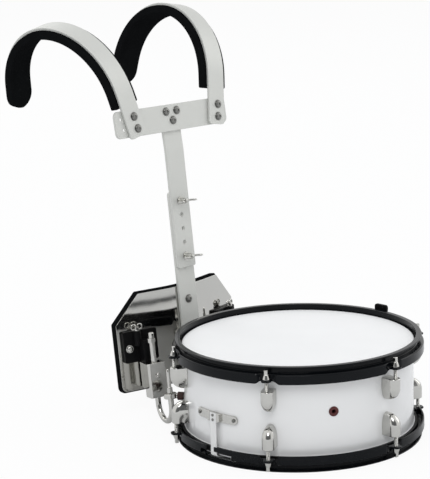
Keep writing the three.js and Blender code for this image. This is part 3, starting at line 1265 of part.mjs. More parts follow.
function addCarrier(group) {
  const carrier = new THREE.Group();
  carrier.position.set(0, CARRIER_FRONT, CARRIER_LEVEL);
  carrier.rotation.x = -CARRIER_LEAN;
  group.add(carrier);
  carrier.add(namedMesh('belly_plate', bellySheet(0, PLATE_SHEET, 0), plate));
  carrier.add(namedMesh('belly_pad', bellySheet(PLATE_SHEET + FIT, BELLY_PAD, BELLY_PAD_OVERHANG), foam));
  carrier.add(namedMesh('lower_bar', makeLowerBar(), aluminium));
  carrier.add(namedMesh('upper_bar', makeUpperBar(), aluminium));
  const lowerWing = namedMesh('wing_bolt_lower', makeWingBolt(), chrome);
  lowerWing.position.z = LOWEST_BAR_HOLE;
  const upperWing = namedMesh('wing_bolt_upper', makeWingBolt(), chrome);
  upperWing.position.z = LOWEST_BAR_HOLE + (BAR_HOLES - 1) * BAR_HOLE_PITCH;
  carrier.add(lowerWing, upperWing);
  const head = new THREE.Group();
  head.position.set(0, UPPER_BAR_FRONT * (1 - 1 / Math.cos(UPPER_BAR_LEAN)), UPPER_BAR_BEND);
  head.rotation.x = -UPPER_BAR_LEAN;
  carrier.add(head);
  head.add(namedMesh('crossbar', makeCrossbar(), aluminium));
  ['right', 'left'].forEach((word, side) => {
    head.add(namedMesh(`yoke_${word}`, makeYoke(side), aluminium));
    head.add(namedMesh(`shoulder_pad_${word}`, makeShoulderPad(side), foam));
  });
  group.updateMatrixWorld(true);
  [-1, 1].forEach((side) => {
    const word = side < 0 ? 'right' : 'left';
    const wing = new THREE.Group();
    wing.position.set(side * wingX(HOOK_S), wingY(HOOK_S), 0);
    wing.rotation.z = side * wingTurn;
    carrier.add(wing);
    wing.add(namedMesh(`mounting_block_${word}`, makeBlock(side), blackSteel));
    wing.add(namedMesh(`hook_housing_${word}`, makeHousing(), chrome));
    wing.add(namedMesh(`hook_${word}`, makeHook(), chrome));
    const screw = namedMesh(`wing_screw_${word}`, makeWingScrew(), chrome);
    screw.position.set(side * (WING_SCREW_S - HOOK_S), -WING_SCREW_OUT, -BLOCK_DROP);
    wing.add(screw);
    wing.updateMatrixWorld(true);
    const level = carrierHeight(EYE_LEVEL, HOOK_PRONG_Y);
    const prong = new THREE.Vector3(0, -HOOK_OUT - 2 * HOOK_BEND, level).applyMatrix4(wing.matrixWorld);
    group.add(namedMesh(`eye_bolt_${word}`, makeEyeBolt(prong, CARRIER_LEAN), chrome));
  });
}

function addDrum(group) {
  group.add(namedMesh('shell', makeShell(), whiteWrap));
  const grommet = namedMesh('vent_grommet', makeVentGrommet(), ventMetal);
  group.add(aroundDrum(grommet, VENT_ANGLE, SHELL_RADIUS, VENT_LEVEL));
  group.add(namedMesh('batter_head', makeHead(), headFilm));
  group.add(namedMesh('snare_head', turned(makeHead()), headFilm));
  group.add(namedMesh('batter_hoop', makeHoop(false), blackEnamel));
  group.add(namedMesh('snare_hoop', makeHoop(true), blackEnamel));
  addRodsAndLugs(group);
  addSnareSystem(group);
}

// The whole instrument, moved so that its origin is the middle of its footprint's bounding box
const model = new THREE.Group();
addDrum(model);
addCarrier(model);
model.updateMatrixWorld(true);
const bounds = new THREE.Box3().setFromObject(model, true);
model.position.set(-(bounds.min.x + bounds.max.x) / 2, -(bounds.min.y + bounds.max.y) / 2, -bounds.min.z);
model.updateMatrixWorld(true);

export default model;
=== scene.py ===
"""Marching snare drum on its shoulder carrier: looks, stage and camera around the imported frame."""

import json
import math

import bmesh
import bpy
from bpy.props import FloatProperty, FloatVectorProperty, IntProperty, PointerProperty
from bpy.types import Operator, Panel, PropertyGroup
from mathutils import Matrix, Vector

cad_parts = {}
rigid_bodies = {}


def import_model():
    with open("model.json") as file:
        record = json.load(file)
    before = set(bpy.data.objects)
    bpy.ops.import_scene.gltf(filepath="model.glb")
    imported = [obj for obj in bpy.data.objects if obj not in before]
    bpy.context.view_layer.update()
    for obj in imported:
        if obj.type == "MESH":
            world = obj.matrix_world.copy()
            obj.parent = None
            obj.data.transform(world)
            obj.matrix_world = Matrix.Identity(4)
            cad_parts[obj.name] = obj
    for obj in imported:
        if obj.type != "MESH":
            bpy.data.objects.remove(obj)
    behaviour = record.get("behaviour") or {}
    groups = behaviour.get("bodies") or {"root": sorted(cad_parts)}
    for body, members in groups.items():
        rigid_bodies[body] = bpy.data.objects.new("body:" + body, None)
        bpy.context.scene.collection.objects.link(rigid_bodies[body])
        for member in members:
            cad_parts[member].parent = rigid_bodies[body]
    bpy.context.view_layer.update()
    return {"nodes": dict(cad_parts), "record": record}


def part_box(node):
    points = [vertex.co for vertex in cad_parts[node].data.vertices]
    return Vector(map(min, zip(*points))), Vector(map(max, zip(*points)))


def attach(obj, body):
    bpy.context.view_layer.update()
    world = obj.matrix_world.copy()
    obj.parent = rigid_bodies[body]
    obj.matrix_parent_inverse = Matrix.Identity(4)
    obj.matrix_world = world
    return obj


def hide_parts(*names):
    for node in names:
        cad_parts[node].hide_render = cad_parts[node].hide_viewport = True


bl_info = {
    "name": "Marching Snare Drum",
    "version": (1, 0, 0),
    "blender": (4, 5, 0),
    "location": "View3D > Sidebar > Drum",
    "description": "A shallow marching snare drum on its shoulder carrier",
    "category": "Object",
}

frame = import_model()

# Lengths in the functions below are millimetres, and MM turns them into metres
MM = 0.001
RIGHT_ANGLE = math.pi / 2
FULL_TURN = math.tau
CLEAR = 0.3
WHITE = (1, 1, 1)

# Drum
SHELL_RADIUS = 177
SHELL_WALL = 6
SHELL_FOOT = 9.4
SHELL_TOP = 149
DRUM_HEIGHT = 158.4
DRUM_MIDDLE = DRUM_HEIGHT / 2
HEAD_RECESS = 8.6
COLLAR_DEPTH = 12.6
VENT_LEVEL = 86
VENT_ANGLE = math.radians(240)
VENT_BORE = 4.8
HOOP_INNER = 181
HOOP_SHEET = 2.3
RIM_FLANGE = 189.5
SKIRT = 193
SKIRT_DEPTH = 26
SHOULDER = 1.6
FLANGE_UNDERSIDE = 12.9
EAR_RADIUS = 204
EAR_DROP = 17.4
EAR_SHEET = 2.9
EAR_NECK = 189.5
EAR_HALF_WIDTH = 7
EAR_FLARE = 12
EAR_HOLE = 3.5
ROD_CIRCLE = 195.5
ROD_COUNT = 6
FIRST_ROD = math.radians(30)
ROD_DIAMETER = 5.8
LUG_WIDTH = 19.4
LUG_FRONT = 201.8
LUG_INNER_END = 10
LUG_OUTER_END = 44
LUG_ROUND = 19
LUG_EDGE = 1.4
LUG_BORE = 3.2
GATE_TURN = math.radians(3)
GATE_WIDTH = 62
GATE_SILL = 3
GATE_LINTEL = 7
NOTCH_WIDTH = 17
NOTCH_HEIGHT = 30
CUTTER_LENGTH = 420
STRAP_RADIUS = 183.6
STRAP_WIDTH = 12.5
STRAP_SHEET = 0.8
STRAND_LENGTH = 300
STRAND_TURNS = 110
STRAND_COIL = 0.5
STRAND_WIRE = 0.24
STRAND_LEVEL = HEAD_RECESS - CLEAR - 0.75
BUTT_LEVEL = 68
BUTT_WIDTH = 84
BUTT_HEIGHT = 13.5
BUTT_SHEET = 2.6
CLAMP_WIDTH = 24
CLAMP_DEPTH = 7.0

# Carrier
CARRIER_FRONT = 251.4
CARRIER_LEVEL = 197
CARRIER_LEAN = math.radians(6.1)
PLATE_FLAT = 28
PLATE_BEND = math.radians(17)
PLATE_HALF_WIDTH = 134
PLATE_TOP_HALF = 90
PLATE_CUT_DROP = 46
PLATE_HEIGHT = 155
PLATE_SHEET = 1.6
BELLY_FOAM = 13
BELLY_FOAM_PROUD = 2.6
BAR_WIDTH = 38
BAR_SHEET = 5
BAR_HOLE = 7.2
UPPER_FRONT = -10.6
UPPER_BEND = 222
UPPER_LEAN = math.radians(3.3)
UPPER_HEAD = 69
UPPER_FOOT = 30
LOWEST_HOLE = 48
HOLE_PITCH = 22.7
CROSSBAR_LEVEL = 51.5
CROSSBAR_LENGTH = 240
CROSSBAR_HEIGHT = 43
CROSSBAR_SHEET = 4.5
BOLT_HEAD = 14
WASHER_SHEET = 0.9
YOKE_SHEET = 4.5
HOOK_S = 93
BOSS_OUT = 29.7
BOSS_WIDTH = 18
HOOK_OUT = 42
HOOK_BEND = 25
HOOK_ROD = 9
HOUSING_WIDTH = 31
HOUSING_DEPTH = 23
HOUSING_HEIGHT = 56
HOUSING_TOP = -106
EYE_LEVEL = 52
BLOCK_DROP = 57
BLOCK_WIDTH = 59
BLOCK_HEIGHT = 51
BLOCK_DEPTH = 8
WING_SCREW_S = 104
WING_SCREW_OUT = 12.5

# The two yokes: the player's right (-X) first
YOKES = {
    "right": {
        "x": -78.5, "tilt": math.radians(-13.3), "twist": math.radians(4.3), "straight": 70, "pad": 53,
    },
    "left": {
        "x": 92.3, "tilt": math.radians(9.1), "twist": math.radians(-1.1), "straight": 81.5, "pad": 60,
    },
}
YOKE_WIDTH = 34
YOKE_FOOT = -22
YOKE_FRONT_BEND = 134.6
YOKE_REAR_BEND = 118.1
YOKE_FRONT_SWEEP = math.radians(81.7)
YOKE_REAR_SWEEP = math.radians(79)
YOKE_TAIL = 38
YOKE_TWIST_START = 46
YOKE_TWIST_RUN = 80
PAD_WIDTH = 49
PAD_OVERHANG = 5
PAD_THICKNESS = 14
SPARE_HOLE = 5.6
SPARE_HOLE_GAP = 1

# Stage: metres; the focal length and the photograph's height are in its pixels, and the sensor in millimetres
PHOTO_HEIGHT = 479
FOCAL_LENGTH = 1700
SENSOR = 36
FLOOR_RADIUS = 14
FLOOR_DROP = 0.0004
FLOOR_TONE = (0.86, 0.86, 0.86)
SHADOW_RADIUS = 0.187
PAPER_IN_VIEW = 0.92
PAPER_IN_GLOSS = 0.1
ROOM_STRENGTH = 0.72
DARK_SIDE = (-0.69, -0.66, 0.3)
LAMP_TARGET = Vector((0, -0.05, 0.25))


def turn(angle, axis):
    return Matrix.Rotation(angle, 4, axis)


def shift(x=0.0, y=0.0, z=0.0):
    return Matrix.Translation((x, y, z))


def node_middle(node):
    """Middle of a node's box in millimetres"""
    low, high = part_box(node)
    return (low + high) / 2 / MM


DRUM = shift(*node_middle("shell").xy)
BUTT = DRUM @ turn(math.pi, "Z")
CARRIER = DRUM @ shift(0, CARRIER_FRONT, CARRIER_LEVEL) @ turn(-CARRIER_LEAN, "X")
HEAD_Y = UPPER_FRONT * (1 - 1 / math.cos(UPPER_LEAN))
HEAD = CARRIER @ shift(0, HEAD_Y, UPPER_BEND) @ turn(-UPPER_LEAN, "X")
SIDES = {"right": -1, "left": 1}


def wing_x(s):
    return PLATE_FLAT + (s - PLATE_FLAT) * math.cos(PLATE_BEND)


def wing_y(s):
    return (s - PLATE_FLAT) * math.sin(PLATE_BEND)


def wing_frame(side):
    return CARRIER @ shift(side * wing_x(HOOK_S), wing_y(HOOK_S)) @ turn(side * PLATE_BEND, "Z")


def carrier_height(level, y):
    """A level above the floor as a height in the leaning carrier, at a depth y"""
    return (level - CARRIER_LEVEL + y * math.sin(CARRIER_LEAN)) / math.cos(CARRIER_LEAN)


HOOK_BEND_Y = wing_y(HOOK_S) - (HOOK_OUT + HOOK_BEND) * math.cos(PLATE_BEND)
HOOK_PRONG_Y = wing_y(HOOK_S) - (HOOK_OUT + 2 * HOOK_BEND) * math.cos(PLATE_BEND)
HOOK_BEND_LEVEL = carrier_height(0.6 + HOOK_ROD / 2 + HOOK_BEND, HOOK_BEND_Y)


# Settings
def colour(name, about, default):
    return FloatVectorProperty(
        name=name, description=about, subtype="COLOR", size=3, min=0, max=1, default=default,
    )


def length(name, about, least, most, default):
    return FloatProperty(
        name=name, description=about, unit="LENGTH", min=least, max=most, default=default,
    )


class DrumColours(PropertyGroup):
    """Colours of the finishes"""

    wrap: colour("Shell Wrap", "Colour of the glossy wrap on the shell", (0.79, 0.79, 0.785))
    head: colour("Heads", "Colour of both drum heads", (0.9, 0.9, 0.895))
    enamel: colour("Hoop Enamel", "Colour of the enamel on both hoops", (0.0022, 0.0028, 0.0036))
    chrome: colour("Chrome", "Tint of the chrome-plated fittings", (0.56, 0.555, 0.53))
    aluminium: colour("Bars", "Colour of the satin bars and yokes", (0.6, 0.605, 0.575))
    foam: colour("Foam", "Colour of the foam pads", (0.0056, 0.006, 0.0064))
    vent: colour("Vent", "Colour of the vent grommet", (0.085, 0.02, 0.018))


class DrumSizes(PropertyGroup):
    """Sizes that a user would change"""

    lug_nose: length("Lug Nose", "Length of the rounded end of a lug", 0.005, 0.03, LUG_ROUND * MM)
    key_head: length("Key Head", "Side of the square head of a tension rod", 0.004, 0.009, 5.2 * MM)
    strands: IntProperty(
        name="Snare Strands", description="Number of coiled strands under the lower head",
        min=4, max=40, default=20,
    )
    strand_pitch: length("Strand Pitch", "Distance between two strands", 0.001, 0.006, 2.05 * MM)
    pad_crown: length("Pad Crown", "How far the pads stand proud in the middle", 0, 0.003, 0.8 * MM)
    lens: FloatProperty(
        name="Lens", description="Focal length of the camera in millimetres",
        min=20, max=300, default=FOCAL_LENGTH / PHOTO_HEIGHT * SENSOR,
    )


# Node trees
class Value:
    """One output of a node; arithmetic on it adds Math nodes"""

    def __init__(self, nodes, socket):
        self.nodes = nodes
        self.socket = socket

    def math(self, operation, first, second):
        return self.nodes.add("ShaderNodeMath", {"operation": operation}, {0: first, 1: second})

    def __add__(self, other):
        return self.math("ADD", self, other)

    def __radd__(self, other):
        return self.math("ADD", other, self)

    def __mul__(self, other):
        return self.math("MULTIPLY", self, other)

    def __rmul__(self, other):
        return self.math("MULTIPLY", other, self)

    def __gt__(self, other):
        return self.math("GREATER_THAN", self, other)


class Nodes:
    """A node tree, and the one way to add a node to it"""

    def __init__(self, tree):
        self.tree = tree
        tree.nodes.clear()

    def feed(self, socket, value):
        if isinstance(value, Value):
            self.tree.links.new(value.socket, socket)
        elif socket.type == "RGBA":
            socket.default_value = (*value[:3], 1.0)
        else:
            socket.default_value = value

    def add(self, kind, settings=None, inputs=None, output=0):
        """A node with its settings, such as a ramp's stops, and then the values or links of its sockets"""
        node = self.tree.nodes.new(kind)
        for key, value in (settings or {}).items():
            if key == "stops":
                for element, (position, tone) in zip(node.color_ramp.elements, value):
                    element.position = position
                    element.color = (*tone, 1.0)
            else:
                setattr(node, key, value)
        for key, value in (inputs or {}).items():
            self.feed(node.inputs[key], value)
        return Value(self, node.outputs[output]) if node.outputs else None

    def ray(self, kind):
        return self.add("ShaderNodeLightPath", output=f"Is {kind} Ray")


class Finish(Nodes):
    """A material and its nodes"""

    made = {}

    def __init__(self, name):
        self.material = bpy.data.materials.new(name)
        self.made[name] = self.material
        self.material.use_nodes = True
        super().__init__(self.material.node_tree)
        self.place = self.add("ShaderNodeTexCoord", output="Object")

    def noise(self, scale, detail=2.0, roughness=0.5, place=None):
        inputs = {"Vector": place or self.place, "Scale": scale, "Detail": detail, "Roughness": roughness}
        return self.add("ShaderNodeTexNoise", None, inputs, "Fac")

    def wave(self, direction, scale):
        inputs = {"Vector": self.place, "Scale": scale}
        return self.add("ShaderNodeTexWave", {"bands_direction": direction}, inputs, "Fac")

    def blend(self, factor, first, second):
        return self.add("ShaderNodeMix", {"data_type": "RGBA"}, {0: factor, 6: first, 7: second}, 2)

    def toned(self, mask, tint, dark, light):
        return self.blend(mask, shade(tint, dark), shade(tint, light))

    def bump(self, height, strength, distance, under=None):
        inputs = {"Height": height, "Strength": strength, "Distance": distance}
        if under is not None:
            inputs["Normal"] = under
        return self.add("ShaderNodeBump", None, inputs)

    def shader(self, **sockets):
        named = {key.replace("_", " "): value for key, value in sockets.items()}
        return self.add("ShaderNodeBsdfPrincipled", None, named)

    def end(self, shader):
        self.add("ShaderNodeOutputMaterial", None, {"Surface": shader})


def shade(tint, factor):
    return tuple(min(1.0, channel * factor) for channel in tint)


def make_wrap(tint):
    """Glossy white wrap with a faint cloud and the slight waviness of film on ply"""
    finish = Finish("shell_wrap")
    base = finish.toned(finish.noise(14, 3), tint, 0.975, 1.02)
    rough = 0.13 + finish.noise(160, 4, 0.6) * 0.09
    wavy = finish.bump(finish.noise(45, 2), 0.05, 0.0006)
    peel = finish.bump(finish.noise(420, 2), 0.04, 0.0002, wavy)
    finish.end(finish.shader(
        Base_Color=base, Roughness=rough, Normal=peel, Coat_Weight=0.6, Coat_Roughness=0.05,
    ))


def make_film(tint):
    """Sprayed drum head: fine tooth, a little greyer where sticks and hands mark it"""
    finish = Finish("head_film")
    tooth = finish.noise(1500, 2)
    base = finish.toned(finish.noise(22, 5, 0.62), tint, 0.965, 1.01)
    normal = finish.bump(tooth, 0.1, 0.00015)
    finish.end(finish.shader(Base_Color=base, Roughness=0.38 + tooth * 0.14, Normal=normal))


def make_enamel(tint):
    """Gloss black enamel with orange peel and dust"""
    finish = Finish("hoop_enamel")
    base = finish.toned(finish.noise(700, 4, 0.7), tint, 1.0, 1.9)
    rough = 0.1 + finish.noise(60, 3) * 0.1
    peel = finish.bump(finish.noise(500, 1), 0.06, 0.0002)
    finish.end(finish.shader(Base_Color=base, Roughness=rough, Normal=peel, Specular_IOR_Level=0.14))


def make_aluminium(tint):
    """Satin aluminium: fine speckle and short brush marks"""
    finish = Finish("bar_aluminium")
    speckle = finish.noise(1900, 3, 0.7)
    cloud = finish.noise(30, 3)
    stretched = finish.add("ShaderNodeMapping", None, {"Vector": finish.place, "Scale": (1800, 1800, 160)})
    brushed = finish.noise(1.0, 3, 0.6, stretched)
    base = finish.blend(cloud * 0.3, finish.toned(speckle, tint, 0.93, 1.07), shade(tint, 0.93))
    tooth = finish.bump(speckle, 0.18, 0.00015, finish.bump(brushed, 0.12, 0.0001))
    rough = 0.42 + brushed * 0.16
    finish.end(finish.shader(Base_Color=base, Roughness=rough, Metallic=0.35, Normal=tooth))


def make_plating(tint):
    """Bright plating with fine hazing"""
    finish = Finish("chrome_plate")
    haze = finish.noise(120, 4, 0.6)
    base = finish.toned(haze, tint, 0.93, 1.06)
    ripple = finish.bump(finish.noise(150, 2), 0.05, 0.0003)
    finish.end(finish.shader(Base_Color=base, Roughness=0.05 + haze * 0.09, Metallic=1.0, Normal=ripple))


def make_mirror(tint):
    """Polished sheet with the slight bend of a pressed plate"""
    finish = Finish("belly_mirror")
    smear = finish.noise(18, 5, 0.6)
    base = finish.toned(smear, tint, 0.9, 1.02)
    dents = finish.bump(finish.noise(16, 1), 0.16, 0.002)
    finish.end(finish.shader(Base_Color=base, Roughness=0.035 + smear * 0.07, Metallic=1.0, Normal=dents))


def make_foam(tint):
    """Closed-cell foam: small cells and a dusty bloom"""
    finish = Finish("foam_pad")
    inputs = {"Vector": finish.place, "Scale": 750.0}
    cells = finish.add("ShaderNodeTexVoronoi", {"feature": "F1"}, inputs, "Distance")
    bloom = finish.noise(40, 5, 0.65)
    base = finish.toned(bloom, tint, 0.7, 1.5)
    pores = finish.bump(cells, 0.3, 0.0004)
    rough = 0.72 + bloom * 0.2
    finish.end(finish.shader(Base_Color=base, Roughness=rough, Normal=pores, Specular_IOR_Level=0.0))


def make_black_metal():
    """Satin black powder coat"""
    finish = Finish("black_metal")
    wear = finish.noise(50, 5, 0.7)
    base = finish.blend(wear, (0.0028, 0.0028, 0.003), (0.0075, 0.0075, 0.008))
    normal = finish.bump(finish.noise(1400, 2), 0.2, 0.00015)
    rough = 0.3 + wear * 0.2
    finish.end(finish.shader(Base_Color=base, Roughness=rough, Normal=normal, Specular_IOR_Level=0.07))


def make_web():
    """Woven tape"""
    finish = Finish("strap_web")
    weave = finish.wave("Z", 260.0) * 0.5 + finish.wave("Y", 260.0) * 0.5
    base = finish.blend(weave, (0.68, 0.68, 0.67), (0.84, 0.84, 0.83))
    normal = finish.bump(weave, 0.4, 0.0003)
    finish.end(finish.shader(Base_Color=base, Roughness=0.45 + weave * 0.2, Normal=normal))


def make_hazed(name, noise, dark, light, rough, spread, relief=0.0, **sockets):
    """A small fitting's finish: one haze in its tone, its roughness and, if asked, its relief"""
    finish = Finish(name)
    haze = finish.noise(*noise)
    if relief:
        sockets["Normal"] = finish.bump(haze, relief, 0.0003)
    base = finish.blend(haze, dark, light)
    finish.end(finish.shader(Base_Color=base, Roughness=rough + haze * spread, **sockets))


# Mesh building
def polar(radius, angle):
    return radius * math.cos(angle), radius * math.sin(angle)


def limited(value):
    return min(1.0, max(0.0, value))


def smooth(share):
    return share * share * (3 - 2 * share)


def fillet(points, radii, steps=3):
    """A closed outline with its corners rounded, always with the same number of points"""
    rounded = []
    count = len(points)
    for i, point in enumerate(points):
        corner = Vector(point)
        back = Vector(points[i - 1]) - corner
        ahead = Vector(points[(i + 1) % count]) - corner
        radius = radii[i] if isinstance(radii, (list, tuple)) else radii
        shortest = min(back.length, ahead.length)
        back.normalize()
        ahead.normalize()
        opening = back.angle(ahead, math.pi)
        if radius <= 0 or opening > math.radians(178) or shortest < 1e-6:
            rounded.extend([corner.copy() for _ in range(steps + 1)])
            continue
        slope = math.tan(opening / 2)
        trim = min(radius / slope, 0.47 * shortest)
        size = trim * slope
        centre = corner + (back + ahead).normalized() * (size / math.sin(opening / 2))
        start = corner + back * trim - centre
        end_x = ahead.x * trim + corner.x - centre.x
        end_y = ahead.y * trim + corner.y - centre.y
        across = start.x * end_y - start.y * end_x
        sweep = math.atan2(across, start.dot(corner + ahead * trim - centre))
        for k in range(steps + 1):
            cosine, sine = polar(1.0, sweep * k / steps)
            turned = (start.x * cosine - start.y * sine, start.x * sine + start.y * cosine)
            rounded.append(centre + Vector(turned))
    return rounded


def rectangle(width, height, x=0.0, y=0.0):
    corners = ((-1, -1), (1, -1), (1, 1), (-1, 1))
    return [(x + across * width / 2, y + up * height / 2) for across, up in corners]


def circle(diameter, x=0.0, y=0.0, steps=28):
    places = [polar(diameter / 2, FULL_TURN * k / steps) for k in range(steps)]
    return [(x + across, y + up) for across, up in places]


def loft(rings, closed=False):
    """A skin over rings of points; the ends are capped unless the path is closed"""
    bm = bmesh.new()
    rows = [[bm.verts.new(point) for point in ring] for ring in rings]
    count = len(rows[0])
    for i in range(len(rows) if closed else len(rows) - 1):
        here, after = rows[i], rows[(i + 1) % len(rows)]
        for j in range(count):
            k = (j + 1) % count
            bm.faces.new((here[j], here[k], after[k], after[j]))
    if not closed:
        bm.faces.new(list(reversed(rows[0])))
        bm.faces.new(rows[-1])
    return bm


def placed(bm, matrix):
    bmesh.ops.transform(bm, matrix=matrix, verts=bm.verts)
    return bm


# How a turned shape is laid over to look along another axis
TURNED_TO = {"-Y": turn(RIGHT_ANGLE, "X"), "X": turn(RIGHT_ANGLE, "Y")}


def lathe(profile, steps=64, axis="Z"):
    """A profile of (radius, height) turned about an axis"""
    rings = []
    for k in range(steps):
        angle = FULL_TURN * k / steps
        rings.append([Vector((*polar(radius, angle), height)) for radius, height in profile])
    bm = loft(rings, closed=True)
    return placed(bm, TURNED_TO[axis]) if axis in TURNED_TO else bm


def raised(level, *places):
    """Points of a profile whose heights count from a level"""
    return [(radius, level + rise) for radius, rise in places]


def cylinder(radius, foot, top, steps=24, axis="Z"):
    """A plain drill or bar for cutting"""
    return lathe([(0, foot), (radius, foot), (radius, top), (0, top)], steps, axis)


def box(width, depth, height, x=0.0, y=0.0, z=0.0):
    bm = bmesh.new()
    bmesh.ops.create_cube(bm, size=1.0)
    return placed(bm, shift(x, y, z) @ Matrix.Diagonal((width, depth, height, 1)))


def clean(bm):
    bmesh.ops.remove_doubles(bm, verts=bm.verts, dist=1e-4)
    bmesh.ops.dissolve_degenerate(bm, edges=bm.edges, dist=1e-5)
    bmesh.ops.recalc_face_normals(bm, faces=bm.faces)
    return bm


def written(bm, name="temporary"):
    mesh = bpy.data.meshes.new(name)
    bm.to_mesh(mesh)
    bm.free()
    return mesh


def read(mesh):
    """A bmesh in place of a mesh"""
    bm = bmesh.new()
    bm.from_mesh(mesh)
    bpy.data.meshes.remove(mesh)
    return bm


def merged(*shapes):
    """Several shapes in one"""
    whole = bmesh.new()
    for bm in shapes:
        part = written(bm)
        whole.from_mesh(part)
        bpy.data.meshes.remove(part)
    return whole


def linked(name, data):
    obj = bpy.data.objects.new(name, data)
    bpy.context.scene.collection.objects.link(obj)
    return obj


def discard(obj):
    """Remove an object and its data"""
    data = obj.data
    bpy.data.objects.remove(obj)
    bpy.data.batch_remove([data])


def evaluated(obj):
    bpy.context.view_layer.update()
    depsgraph = bpy.context.evaluated_depsgraph_get()
    return bpy.data.meshes.new_from_object(obj.evaluated_get(depsgraph))


def modified(bm, kind, **settings):
    """A shape after one modifier"""
    obj = linked("temporary", written(clean(bm)))
    modifier = obj.modifiers.new(kind, kind)
    for key, value in settings.items():
        setattr(modifier, key, value)
    mesh = evaluated(obj)
    discard(obj)
    return read(mesh)


def cut(bm, cutter):
    tool = linked("temporary", written(clean(cutter)))
    result = modified(bm, "BOOLEAN", operation="DIFFERENCE", solver="EXACT", object=tool)
    discard(tool)
    return result


def bevelled(bm, width, segments=2, angle=35):
    return modified(
        bm, "BEVEL", width=width, segments=segments, limit_method="ANGLE",
        angle_limit=math.radians(angle), miter_outer="MITER_ARC", use_clamp_overlap=True,
    )


def softened(node, width):
    """A merged copy of a CAD node with rounded edges, in millimetres"""
    bm = bmesh.new()
    bm.from_mesh(frame["nodes"][node].data)
    bmesh.ops.scale(bm, vec=(1 / MM, 1 / MM, 1 / MM), verts=bm.verts)
    bmesh.ops.remove_doubles(bm, verts=bm.verts, dist=0.002)
    bmesh.ops.dissolve_limit(bm, angle_limit=math.radians(1.0), verts=bm.verts, edges=bm.edges)
    return bevelled(bm, width, 2, 32)


def plate(outline, thickness, edge=0.5, holes=()):
    """A flat plate with rounded edges: outline in X and Z, front at y = 0 and back at y = thickness"""
    curve = bpy.data.curves.new("plate", "CURVE")
    curve.dimensions = "2D"
    curve.fill_mode = "BOTH"
    curve.extrude = thickness / 2 - edge
    curve.bevel_depth = edge
    curve.bevel_resolution = 2
    curve.offset = -edge
    for loop in (outline, *holes):
        spline = curve.splines.new("POLY")
        spline.points.add(len(loop) - 1)
        for point, place in zip(spline.points, loop):
            point.co = (place[0], place[1], 0, 1)
        spline.use_cyclic_u = True
    obj = linked("plate", curve)
    mesh = evaluated(obj)
    discard(obj)
    return clean(placed(read(mesh), shift(0, thickness / 2, 0) @ turn(RIGHT_ANGLE, "X")))


def sliced(bm, places, normal=(1, 0, 0)):
    """The same shape with cuts across it, so that it can bend"""
    for place in places:
        point = Vector(normal) * place
        geometry = bm.verts[:] + bm.edges[:] + bm.faces[:]
        bmesh.ops.bisect_plane(bm, geom=geometry, plane_co=point, plane_no=normal, dist=1e-5)
    return bm


def wrapped(bm, radius):
    """A plate bent round the drum: its X becomes the way round, and its front face the outer one"""
    for vertex in bm.verts:
        x, y, z = vertex.co
        vertex.co = (*polar(radius - y, x / radius), z)
    return bm


def circled(centre, across, up, radius, steps):
    """A ring of points round a centre, in the plane of two directions"""
    ring = []
    for k in range(steps):
        right, high = polar(radius, FULL_TURN * k / steps)
        ring.append(centre + across * right + up * high)
    return ring


def tube(path, diameter, steps, ends):
    """A round rod along points that lie in one plane of constant x"""
    rings = []
    last = len(path) - 1
    side = Vector((1, 0, 0))
    for i, point in enumerate(path):
        along = (Vector(path[min(last, i + 1)]) - Vector(path[max(0, i - 1)])).normalized()
        share = ends[0] if i == 0 else ends[1] if i == last else 1.0
        rings.append(circled(Vector(point), side, along.cross(side), diameter / 2 * share, steps))
    return loft(rings)


def piece(name, bm, matrix, body, slot, replaces=(), sharp=38, finish=None):
    """A finished object in metres: placed, shaded, dressed in its slot's finish and riding on its body"""
    mesh = written(placed(clean(bm), Matrix.Scale(MM, 4) @ matrix), name)
    mesh.shade_smooth()
    mesh.set_sharp_from_angle(angle=math.radians(sharp))
    mesh.materials.append(Finish.made[finish or slot])
    obj = linked(name, mesh)
    obj.modifiers.new("weighted", "WEIGHTED_NORMAL").keep_sharp = True
    flat = evaluated(obj)
    obj.modifiers.clear()
    obj.data = flat
    bpy.data.meshes.remove(mesh)
    flat.name = name
    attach(obj, body)
    if replaces:
        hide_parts(*replaces)
    return obj


# Geometry Nodes
class Growth(Nodes):
    """A geometry node tree that is run once on an empty mesh"""

    def __init__(self, name):
        super().__init__(bpy.data.node_groups.new(name, "GeometryNodeTree"))
        for way in ("INPUT", "OUTPUT"):
            self.tree.interface.new_socket("Geometry", in_out=way, socket_type="NodeSocketGeometry")
        self.start = self.tree.nodes.new("NodeGroupInput")
        self.values = {}

    def ask(self, name, kind, value):
        """A named input of the tree, and the value that it gets"""
        socket = self.tree.interface.new_socket(name, in_out="INPUT", socket_type="NodeSocket" + kind)
        self.values[socket.identifier] = value
        return Value(self, self.start.outputs[name])

    def copied(self, bm, finish, inputs):
        """The shape at every point, realized and with its material set"""
        item = linked("temporary", written(clean(bm)))
        shape = self.ask("Shape", "Object", item)
        source = self.add("GeometryNodeObjectInfo", None, {"Object": shape}, "Geometry")
        instances = self.add("GeometryNodeInstanceOnPoints", None, {"Instance": source, **inputs})
        real = self.add("GeometryNodeRealizeInstances", None, {"Geometry": instances})
        material = self.ask("Material", "Material", Finish.made[finish])
        dressed = self.add("GeometryNodeSetMaterial", None, {"Geometry": real, "Material": material})
        self.add("NodeGroupOutput", None, {"Geometry": dressed})
        host = linked("host", bpy.data.meshes.new("host"))
        modifier = host.modifiers.new("growth", "NODES")
        modifier.node_group = self.tree
        for identifier, value in self.values.items():
            modifier[identifier] = value
        mesh = evaluated(host)
        discard(host)
        discard(item)
        return read(mesh)


